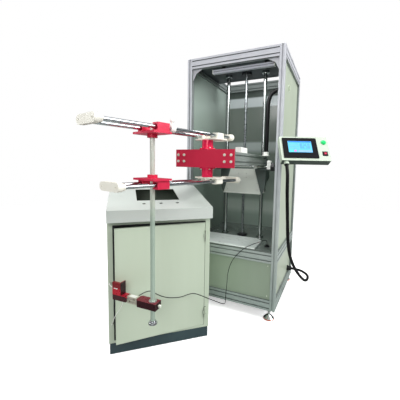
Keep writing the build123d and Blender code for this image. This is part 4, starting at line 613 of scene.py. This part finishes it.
def tube_cord(name, route, diameter, material, pitch, groove, node):
    """A cord as a tube along its route's smooth line; ribs dip into it by groove."""
    points = line_points(name, route)
    places = even_points(points, pitch / RIB_STEPS)
    radii = []
    for index in range(len(places)):
        phase = 0.5 + 0.5 * math.cos(2 * math.pi * index / RIB_STEPS)
        radii.append(diameter / 2 - groove * (1 - phase))
    mesh = tube_mesh(name, places, radii)
    mesh.materials.append(material)
    piece = bpy.data.objects.new(name, mesh)
    bpy.context.scene.collection.objects.link(piece)
    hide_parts(node)
    return piece


def tie_string(name, route):
    """A thin taut string on its own curve, tied at its stud end."""
    curve = route_curve(name, route, STRING_DIAMETER / 2)
    curve.materials.append(string_white)
    piece = bpy.data.objects.new(name, curve)
    bpy.context.scene.collection.objects.link(piece)
    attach(piece, "jaw")
    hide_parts("tie_strings")
    for suffix, place in (("near", route[0]), ("far", route[-1])):
        knot(name + "_knot_" + suffix, place)


def knot(name, place):
    """A small overhand knot: a tube along a three-lobed closed path."""
    points = []
    for step in range(KNOT_STEPS + 1):
        turn = 2 * math.pi * step / KNOT_STEPS
        reach = KNOT_SIZE * (2 + math.cos(3 * turn)) / 3
        points.append(place + Vector((
            reach * math.cos(2 * turn), KNOT_SIZE * 0.4 * math.sin(3 * turn),
            reach * math.sin(2 * turn))))
    radii = [STRING_DIAMETER * 0.42] * len(points)
    return keep(name, tube_mesh(name, points, radii, 8), string_white, "jaw")


sensor_lead = tube_cord(
    "sensor_lead", sensor_route, SENSOR_DIAMETER, cable_grey, 12.0 * MM, 0.0,
    "sensor_cable")
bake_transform(sensor_lead)
operator_hose = tube_cord(
    "operator_hose", hmi_route, HOSE_DIAMETER, hose_black, 5.0 * MM, 0.5 * MM,
    "hmi_hose")
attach(operator_hose, "cabinet")
lift_hose = tube_cord(
    "lift_hose", carriage_route, CARRIAGE_HOSE_DIAMETER, hose_black, 8.0 * MM, 1.0 * MM,
    "carriage_hose")
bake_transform(lift_hose)
tie_string("upper_string", upper_string_route)
tie_string("lower_string", lower_string_route)


# Turned and moulded details
def turned(name, outline, place, material, body, sides=40):
    """A turned piece standing on place: outline holds pairs of radius and height."""
    mesh = bpy.data.meshes.new(name)
    work = bmesh.new()
    rings = []
    for radius, height in outline:
        ring = []
        for step in range(sides):
            angle = 2 * math.pi * step / sides
            ring.append(work.verts.new(place + Vector((
                radius * math.cos(angle), radius * math.sin(angle), height)) * MM))
        rings.append(ring)
    join_rings(work, zip(rings, rings[1:]))
    work.faces.new(list(reversed(rings[0])))
    work.faces.new(rings[-1])
    work.to_mesh(mesh)
    work.free()
    mesh.set_sharp_from_angle(angle=math.radians(35.0))
    return keep(name, mesh, material, body)


def thread(name, foot, radius, depth, pitch, length, material, body):
    """A screw's core with one round-edged ridge wound along it."""
    turned(name + "_core", [(radius - depth, 0.0), (radius - depth, length)], foot,
           material, body)
    mesh = bpy.data.meshes.new(name)
    work = bmesh.new()
    rings = []
    turns = length / pitch - 1
    for step in range(int(turns * THREAD_STEPS) + 1):
        angle = 2 * math.pi * step / THREAD_STEPS
        out = Vector((math.cos(angle), math.sin(angle), 0.0))
        rise = pitch * (0.5 + step / THREAD_STEPS)
        ring = []
        root = radius - depth * RIDGE_SINK
        for reach, lift in ((root, -RIDGE_ROOT), (radius, -RIDGE_CREST),
                            (radius, RIDGE_CREST), (root, RIDGE_ROOT)):
            ring.append(work.verts.new(
                foot + (out * reach + Vector((0.0, 0.0, rise + lift * pitch))) * MM))
        rings.append(ring)
    for low, high in zip(rings, rings[1:]):
        for edge in range(4):
            following = (edge + 1) % 4
            work.faces.new((low[edge], high[edge], high[following], low[following]))
    work.faces.new(rings[0])
    work.faces.new(list(reversed(rings[-1])))
    work.to_mesh(mesh)
    work.free()
    return keep(name, mesh, material, body)


THREAD_STEPS = 20
RIDGE_SINK = 1.2
RIDGE_ROOT = 0.36
RIDGE_CREST = 0.2
SCREW_PLACE = (385, 350)
SCREW_FOOT = 488.0
SCREW_TOP = 1952.5
SCREW_RADIUS = 12.5
THREAD_DEPTH = 1.5
THREAD_PITCH = 8.0
COUPLING_FOOT = 442.0
SHAFT_FOOT = 415.3
screw_thread = thread("screw_thread", cab(*SCREW_PLACE, SCREW_FOOT), SCREW_RADIUS, THREAD_DEPTH,
                      THREAD_PITCH, SCREW_TOP - SCREW_FOOT, screw_steel, "screw")
screw_coupling = turned(
    "screw_coupling",
    [(18, 0), (20, 2), (20, 17), (18.4, 18), (18.4, 21), (20, 22), (20, 25), (18.4, 26),
     (18.4, 29), (20, 30), (20, 44), (18, 46)],
    cab(*SCREW_PLACE, COUPLING_FOOT), bearing_alloy, "screw")
motor_shaft = turned(
    "motor_shaft", [(6.5, 0), (7, 0.5), (7, COUPLING_FOOT - SHAFT_FOOT)],
    cab(*SCREW_PLACE, SHAFT_FOOT), screw_steel, "screw")
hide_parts("lead_screw")
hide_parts("lead_screw")
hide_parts("lead_screw")

DROP_PLACE = (279.03, -814.8)
DROP_FOOT = 305.0
DROP_LENGTH = 1058.0
ROD_START = 20.0
drop_bar = turned(
    "hanging_rod",
    [(12.5, 0), (12.5, DROP_LENGTH - ROD_START - 2), (10.5, DROP_LENGTH - ROD_START)],
    cab(*DROP_PLACE, DROP_FOOT + ROD_START), rod_chrome, "drop")
rod_foot = turned(
    "rod_foot",
    [(19, 0), (24.2, 1.2), (25, 3), (25, 5.2), (24, 7.2), (20.5, 8.4), (18.6, 10.4), (17.8, 16),
     (16.2, 18), (12.9, 19), (12.7, ROD_START)],
    cab(*DROP_PLACE, DROP_FOOT), chrome_bright, "drop")
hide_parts("drop_rod")
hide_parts("drop_rod")

CONSOLE_PLACE = cab(-55, -807, 0)
CONSOLE_ANGLE = math.radians(43.5)


def console_point(across, back, up):
    """A place in the console's own millimetres, in the frame."""
    along = Vector((math.cos(CONSOLE_ANGLE), math.sin(CONSOLE_ANGLE), 0.0))
    inward = Vector((-math.sin(CONSOLE_ANGLE), math.cos(CONSOLE_ANGLE), 0.0))
    return CONSOLE_PLACE + (along * across + inward * back + Vector((0.0, 0.0, up))) * MM


def prism(name, first, second, material, body, slot, edge):
    """A closed piece between two outlines of places, its edges rounded by edge in metres."""
    mesh = bpy.data.meshes.new(name)
    work = bmesh.new()
    front = [work.verts.new(place) for place in first]
    back = [work.verts.new(place) for place in second]
    count = len(front)
    work.faces.new(front)
    work.faces.new(list(reversed(back)))
    for step in range(count):
        following = (step + 1) % count
        work.faces.new((front[step], back[step], back[following], front[following]))
    bmesh.ops.recalc_face_normals(work, faces=work.faces)
    work.to_mesh(mesh)
    work.free()
    piece = keep(name, mesh, material, body)
    bevel = piece.modifiers.new("rounded_edges", "BEVEL")
    bevel.width = edge
    bevel.segments = 2
    return piece


def flat_strip(name, corners, depth, material, body, slot, point):
    """A flat strip: its outline in across and up, its depth along the third way. The bevel is
    wider than the strip, so Blender rounds it as far as it goes."""
    front = [point(across, -depth, up) for across, up in corners]
    back = [point(across, 0.0, up) for across, up in corners]
    return prism(name, front, back, material, body, slot, depth * STRIP_ROUNDING)


STRIP_ROUNDING = 0.4
OPENING_LEFT = 38.0
OPENING_RIGHT = 598.0
OPENING_BOTTOM = 89.0
OPENING_TOP = 792.0
GAP_STRIP_WIDTH = 9.0
GAP_STRIP_DEPTH = 2.5
# A thin black strip on the body's front face along the opening's left and top edges, beside the
# door.
flat_strip("door_gap_strip",
           [(OPENING_LEFT - GAP_STRIP_WIDTH, OPENING_BOTTOM), (OPENING_LEFT, OPENING_BOTTOM),
            (OPENING_LEFT, OPENING_TOP), (OPENING_RIGHT, OPENING_TOP),
            (OPENING_RIGHT, OPENING_TOP + GAP_STRIP_WIDTH),
            (OPENING_LEFT - GAP_STRIP_WIDTH, OPENING_TOP + GAP_STRIP_WIDTH)],
           GAP_STRIP_DEPTH, black_plastic, "cabinet", "console_grey", console_point)


def lengthwise(name, outline, left, right, material, edge=1.0):
    """A piece of the lamp, along the cabinet's width: its outline holds depths and heights."""
    outlines = [[cab(across, back, up) for back, up in outline] for across in (left, right)]
    piece = prism(name, *outlines, material, "cabinet", "lamp_white", edge * MM)
    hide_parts("lamp_bar")


LAMP_LEFT = 200.0
LAMP_RIGHT = 690.0
LAMP_CAP = 6.0
LAMP_FRONT = 42.0
LAMP_BACK = 80.0
LAMP_BOTTOM = 1877.0
LENS_TOP = 1891.0
HOUSING_FOOT = 1894.0
HOUSING_TOP = 1908.0
HANGER_TOP = 1952.5
CAP_CHAMFER = 4.0
HANGER_STEPS = (73.0, 416.0)
HANGER_WIDTH = 30.0
HANGER_FRONT = LAMP_FRONT + 19.0
HANGER_BACK = LAMP_FRONT + 23.0
lens_left = LAMP_LEFT + LAMP_CAP
lens_right = LAMP_RIGHT - LAMP_CAP
lengthwise("lamp_lens_bar",
           [(LAMP_FRONT + 5, LAMP_BOTTOM), (LAMP_BACK - 5, LAMP_BOTTOM),
            (LAMP_BACK - 1, LENS_TOP), (LAMP_FRONT + 1, LENS_TOP)],
           lens_left, lens_right, lamp_white, 2.0)
lengthwise("lamp_slot",
           [(LAMP_FRONT + 4, LENS_TOP), (LAMP_BACK - 4, LENS_TOP),
            (LAMP_BACK - 4, HOUSING_FOOT), (LAMP_FRONT + 4, HOUSING_FOOT)],
           lens_left, lens_right, black_plastic, 0.3)
lengthwise("lamp_housing",
           [(LAMP_FRONT + 1, HOUSING_FOOT), (LAMP_BACK, HOUSING_FOOT),
            (LAMP_BACK, HOUSING_TOP - 3), (LAMP_BACK - 6, HOUSING_TOP),
            (LAMP_FRONT + 7, HOUSING_TOP), (LAMP_FRONT + 1, HOUSING_TOP - 3)],
           lens_left, lens_right, lamp_white)
for side, start in (("left", LAMP_LEFT), ("right", lens_right)):
    lengthwise("lamp_cap_" + side,
               [(LAMP_FRONT, LAMP_BOTTOM + CAP_CHAMFER), (LAMP_FRONT + CAP_CHAMFER, LAMP_BOTTOM),
                (LAMP_BACK - CAP_CHAMFER, LAMP_BOTTOM), (LAMP_BACK, LAMP_BOTTOM + CAP_CHAMFER),
                (LAMP_BACK, HOUSING_TOP), (LAMP_FRONT, HOUSING_TOP)],
               start, start + LAMP_CAP, white_plastic, 1.2)
for side, reach in zip(("left", "right"), HANGER_STEPS):
    start = LAMP_LEFT + reach
    lengthwise("lamp_hanger_" + side,
               [(HANGER_FRONT, HOUSING_TOP), (HANGER_BACK, HOUSING_TOP),
                (HANGER_BACK, HANGER_TOP), (HANGER_FRONT, HANGER_TOP)],
               start, start + HANGER_WIDTH, black_plastic, 0.5)

CELL_LABEL = (104.0, 148.0, 12.0)
CELL_TOP = 432.0
LABEL_THICKNESS = 0.4


def gripper_point(across, back, up):
    """A place in the gripper's own millimetres, X away from the clamp, in the frame."""
    along = Vector((math.cos(GRIPPER_ANGLE), math.sin(GRIPPER_ANGLE), 0.0))
    beside = Vector((-math.sin(GRIPPER_ANGLE), math.cos(GRIPPER_ANGLE), 0.0))
    drop_place = cab(*DROP_PLACE, 0)
    return drop_place + (along * across + beside * back + Vector((0.0, 0.0, up))) * MM


label_start, label_end, label_half = CELL_LABEL
flat_strip("cell_label",
           [(label_start, -label_half), (label_end, -label_half), (label_end, label_half),
            (label_start, label_half)],
           LABEL_THICKNESS, label_white, "clamp", "cell_steel",
           lambda across, out, beside: gripper_point(across, beside, CELL_TOP - out))


# Operator screen
BOX_PLACE = cab(932, -67, 1281)
SCREEN_LEFT = -108.0
SCREEN_BOTTOM = -34.0
SCREEN_WIDTH = 156.0
SCREEN_HEIGHT = 90.0
SCREEN_TOP = 4.0
PICTURE_LIFT = 0.15


def box_point(across, up, out):
    """A place on the operator box's face, in its own millimetres, in the frame."""
    return BOX_PLACE + (box_across * across + box_up * up + box_normal * out) * MM


def glow(name, colour, second, strength, patch=12.0):
    """A lit patch of the display: its colour drifts a little across it."""
    material = surface(name, colour, second, rough=0.2, rough_spread=0.04, patch=patch,
                       grain=2600.0, depth=0.02)
    tree = material.node_tree
    shader = tree.nodes["Principled BSDF"]
    source = shader.inputs["Base Color"].links[0].from_socket
    tree.links.new(source, shader.inputs["Emission Color"])
    shader.inputs["Emission Strength"].default_value = strength
    return material


def display_tiles(name, tiles, lift, material):
    """Thin tiles on the display, each given by left, bottom, right and top shares of it."""
    mesh = bpy.data.meshes.new(name)
    work = bmesh.new()
    for left, bottom, right, top in tiles:
        corners = []
        for out in (SCREEN_TOP, SCREEN_TOP + lift):
            for across, up in ((left, bottom), (right, bottom), (right, top), (left, top)):
                corners.append(work.verts.new(box_point(
                    SCREEN_LEFT + across * SCREEN_WIDTH, SCREEN_BOTTOM + up * SCREEN_HEIGHT, out)))
        work.faces.new(corners[4:])
        work.faces.new(list(reversed(corners[:4])))
        for step in range(4):
            following = (step + 1) % 4
            work.faces.new((corners[step], corners[following],
                            corners[4 + following], corners[4 + step]))
    work.to_mesh(mesh)
    work.free()
    return keep(name, mesh, material, "box")


def digit_tiles(figure, left, bottom, width, height, stroke):
    """The strokes of one seven-stroke figure, as tiles."""
    middle = bottom + height / 2
    top = bottom + height
    right = left + width
    rise = stroke * SCREEN_WIDTH / SCREEN_HEIGHT
    strokes = {
        "a": (left, top - rise, right, top),
        "b": (right - stroke, middle, right, top - rise),
        "c": (right - stroke, bottom + rise, right, middle),
        "d": (left, bottom, right, bottom + rise),
        "e": (left, bottom + rise, left + stroke, middle),
        "f": (left, middle, left + stroke, top - rise),
        "g": (left + stroke, middle - rise / 2, right - stroke, middle + rise / 2)}
    return [strokes[letter] for letter in SEVEN_STROKES[figure]]


SEVEN_STROKES = {"0": "abcdef", "1": "bc", "2": "abged", "4": "fgbc", "5": "afgcd"}
COUNTER_TEXT = "0250"
DIGIT_LEFT = 0.52
DIGIT_STEP = 0.105
DIGIT_BOTTOM = 0.36
DIGIT_WIDTH = 0.07
DIGIT_HEIGHT = 0.42
DIGIT_STROKE = 0.016

screen_field = glow("screen_field", srgb(84, 176, 226), srgb(92, 188, 228), 0.3)
screen_bar_blue = glow("screen_title", srgb(40, 112, 214), srgb(52, 128, 216), 0.32)
screen_mint = glow("screen_mint", srgb(92, 206, 204), srgb(84, 196, 210), 0.32)
screen_pink = glow("screen_pink", srgb(214, 108, 188), srgb(204, 100, 194), 0.34)
screen_lilac = glow("screen_lilac", srgb(138, 178, 226), srgb(128, 168, 224), 0.3)
screen_ink = glow("screen_ink", srgb(84, 96, 146), srgb(94, 106, 154), 0.12)

BUTTON_ACROSS = 132.0
BUTTON_RISE = 51.0
SWITCH_ACROSS = 128.0
SWITCH_RISE = -39.5
SWITCH_PROUD = 5.0


def box_ring(name, across, up, outline, material, body, sides=36):
    """A ring around a button: outline holds pairs of radius and height above the face."""
    mesh = bpy.data.meshes.new(name)
    work = bmesh.new()
    rings = []
    for radius, out in outline:
        ring = []
        for step in range(sides):
            angle = 2 * math.pi * step / sides
            ring.append(work.verts.new(box_point(
                across + radius * math.cos(angle), up + radius * math.sin(angle), out)))
        rings.append(ring)
    join_rings(work, zip(rings, rings[1:] + rings[:1]))
    work.to_mesh(mesh)
    work.free()
    return keep(name, mesh, material, body)


box_ring("button_collar", BUTTON_ACROSS, BUTTON_RISE,
         [(11.6, 0.1), (17.2, 0.1), (17.6, 1.5), (16.6, 3.8), (14.0, 4.8), (11.6, 4.2)],
         button_green, "box")
SWITCH_INSIDE = 12.2
SWITCH_OUTSIDE = 17.5
SWITCH_FRAME_HEIGHT = 1.6
SWITCH_LAMP_HALF = 6.0
SWITCH_LAMP_HEIGHT = 0.8


def switch_strip(name, left, low, right, high, depth, material, body, slot, foot=0.0):
    """A flat strip round the switch's middle, standing on foot above the box's face."""
    flat_strip(name,
               [(SWITCH_ACROSS + left, SWITCH_RISE + low),
                (SWITCH_ACROSS + right, SWITCH_RISE + low),
                (SWITCH_ACROSS + right, SWITCH_RISE + high),
                (SWITCH_ACROSS + left, SWITCH_RISE + high)],
               depth, material, body, slot,
               lambda across, back, up: box_point(across, up, foot - back))


for number, (left, low, right, high) in enumerate((
        (-SWITCH_OUTSIDE, SWITCH_INSIDE, SWITCH_OUTSIDE, SWITCH_OUTSIDE),
        (-SWITCH_OUTSIDE, -SWITCH_OUTSIDE, SWITCH_OUTSIDE, -SWITCH_INSIDE),
        (-SWITCH_OUTSIDE, -SWITCH_INSIDE, -SWITCH_INSIDE, SWITCH_INSIDE),
        (SWITCH_INSIDE, -SWITCH_INSIDE, SWITCH_OUTSIDE, SWITCH_INSIDE))):
    switch_strip("switch_frame_" + str(number + 1), left, low, right, high,
                 SWITCH_FRAME_HEIGHT, bezel_black, "box", "bezel_black")
switch_strip("switch_lamp", -SWITCH_LAMP_HALF, -SWITCH_LAMP_HALF, SWITCH_LAMP_HALF,
             SWITCH_LAMP_HALF, SWITCH_LAMP_HEIGHT, switch_bright, "switch", "switch_red",
             SWITCH_PROUD)
dress(screen_field, "hmi_screen")
display_tiles("screen_title_bar", [(0.02, 0.88, 0.98, 0.99)], PICTURE_LIFT, screen_bar_blue)
display_tiles("screen_corner", [(0.02, 0.02, 0.22, 0.2)], PICTURE_LIFT, screen_mint)
display_tiles("screen_key", [(0.23, 0.06, 0.33, 0.2)], PICTURE_LIFT, screen_pink)
display_tiles("screen_strip", [(0.4, 0.03, 0.98, 0.2)], PICTURE_LIFT, screen_lilac)
counter = []
for place, figure in enumerate(COUNTER_TEXT):
    counter += digit_tiles(figure, DIGIT_LEFT + place * DIGIT_STEP, DIGIT_BOTTOM,
                           DIGIT_WIDTH, DIGIT_HEIGHT, DIGIT_STROKE)
display_tiles("screen_counter", counter, PICTURE_LIFT, screen_ink)
display_tiles("screen_rows", [(0.06, 0.7, 0.42, 0.725), (0.06, 0.56, 0.42, 0.585),
                              (0.06, 0.42, 0.42, 0.445), (0.06, 0.28, 0.42, 0.305),
                              (0.45, 0.24, 0.462, 0.82)], PICTURE_LIFT, screen_lilac)


# Stage and light
FLOOR_RADIUS = 12.0
FLOOR_DROP = 0.001
FLOOR_GLOW = 0.5
FLOOR_ROUGHNESS = 0.7
FLOOR_SEEN_BY_CAMERA = 0.93
FLOOR_SEEN_BY_PART = 0.32
FLOOR_FADE_START = 2.0
FLOOR_FADE_END = 7.0
SKY_STRENGTH = 0.7
WHITE = (1.0, 1.0, 1.0, 1.0)
BELOW_HORIZON = (0.62, 0.63, 0.64, 1.0)
# Heights from 0, straight down, to 1, straight up, with the sky's brightness there
SKY_BANDS = ((0.46, 0.3), (0.51, 0.05), (0.60, 0.07), (0.68, 0.3), (0.80, 0.95))
SKY_BLUENESS = 1.02


def plain_grey(value):
    """A grey as a shader colour."""
    return (value, value, value, 1.0)


def make_floor():
    """A wide pale disc whose rim fades into the background."""
    mesh = bpy.data.meshes.new("studio_floor")
    work = bmesh.new()
    bmesh.ops.create_circle(work, cap_ends=True, segments=96, radius=FLOOR_RADIUS)
    work.to_mesh(mesh)
    work.free()
    material = bpy.data.materials.new("studio_floor")
    material.use_nodes = True
    tree = material.node_tree
    shader = tree.nodes["Principled BSDF"]
    seen = add_node(tree, "ShaderNodeLightPath").outputs["Is Camera Ray"]
    tone = mix_node(tree, seen, plain_grey(FLOOR_SEEN_BY_PART), plain_grey(FLOOR_SEEN_BY_CAMERA))
    tree.links.new(tone, shader.inputs["Base Color"])
    shader.inputs["Roughness"].default_value = FLOOR_ROUGHNESS
    shader.inputs["Emission Color"].default_value = WHITE
    tree.links.new(range_node(tree, seen, 0.0, FLOOR_GLOW, 0.0, 1.0),
                   shader.inputs["Emission Strength"])
    coordinate = add_node(tree, "ShaderNodeTexCoord").outputs["Object"]
    reach = add_node(tree, "ShaderNodeVectorMath", operation="LENGTH")
    tree.links.new(coordinate, reach.inputs[0])
    fade = range_node(tree, reach.outputs["Value"], 0.0, 1.0, FLOOR_FADE_START, FLOOR_FADE_END)
    clear = add_node(tree, "ShaderNodeBsdfTransparent")
    blend = add_node(tree, "ShaderNodeMixShader")
    tree.links.new(fade, blend.inputs["Fac"])
    tree.links.new(shader.outputs["BSDF"], blend.inputs[1])
    tree.links.new(clear.outputs["BSDF"], blend.inputs[2])
    tree.links.new(blend.outputs["Shader"], tree.nodes["Material Output"].inputs["Surface"])
    mesh.materials.append(material)
    floor = bpy.data.objects.new("studio_floor", mesh)
    floor.location = (0.0, 0.0, -FLOOR_DROP)
    bpy.context.scene.collection.objects.link(floor)


def make_world():
    """White to the camera, and a soft sky, dimmer at the horizon, to everything else."""
    world = bpy.data.worlds.new("studio")
    world.use_nodes = True
    tree = world.node_tree
    tree.nodes.clear()
    out = add_node(tree, "ShaderNodeOutputWorld")
    white = add_node(tree, "ShaderNodeBackground")
    white.inputs["Color"].default_value = WHITE
    white.inputs["Strength"].default_value = 1.0
    sky = add_node(tree, "ShaderNodeBackground")
    sky.inputs["Strength"].default_value = SKY_STRENGTH
    coordinate = add_node(tree, "ShaderNodeTexCoord").outputs["Generated"]
    parts = add_node(tree, "ShaderNodeSeparateXYZ")
    tree.links.new(coordinate, parts.inputs["Vector"])
    height = range_node(tree, parts.outputs["Z"], 0.0, 1.0, -1.0, 1.0)
    ramp = add_node(tree, "ShaderNodeValToRGB")
    tree.links.new(height, ramp.inputs["Fac"])
    elements = ramp.color_ramp.elements
    elements[0].position = 0.0
    elements[0].color = BELOW_HORIZON
    elements[1].position = 1.0
    elements[1].color = WHITE
    for position, value in SKY_BANDS:
        element = elements.new(position)
        element.color = (value, value, value * SKY_BLUENESS, 1.0)
    tree.links.new(ramp.outputs["Color"], sky.inputs["Color"])
    seen = add_node(tree, "ShaderNodeLightPath")
    mix = add_node(tree, "ShaderNodeMixShader")
    tree.links.new(seen.outputs["Is Camera Ray"], mix.inputs["Fac"])
    tree.links.new(sky.outputs["Background"], mix.inputs[1])
    tree.links.new(white.outputs["Background"], mix.inputs[2])
    tree.links.new(mix.outputs["Shader"], out.inputs["Surface"])
    bpy.context.scene.world = world


def area_light(name, place, target, size, power):
    """A square soft light that looks at a target."""
    data = bpy.data.lights.new(name, "AREA")
    data.shape = "SQUARE"
    data.size = size
    data.energy = power
    light = bpy.data.objects.new(name, data)
    light.location = place
    toward = Vector(target) - Vector(place)
    light.rotation_euler = toward.to_track_quat("-Z", "Y").to_euler()
    bpy.context.scene.collection.objects.link(light)


make_floor()
make_world()
area_light("key_light", (4.4, 0.4, 3.4), (0.2, 0.1, 0.9), 2.4, 200.0)
area_light("front_light", (1.2, -4.6, 2.8), (-0.1, 0.0, 0.8), 2.6, 92.0)
area_light("left_light", (-4.2, -1.6, 3.0), (-0.2, 0.0, 0.8), 2.4, 62.0)
area_light("top_light", (0.2, -0.4, 5.0), (0.0, 0.1, 0.0), 2.8, 66.0)
area_light("cabinet_lamp", tuple(cab(445, 60, 1862)), tuple(cab(420, 500, 700)), 0.3, 4.0)
bpy.context.scene.view_settings.view_transform = "Standard"
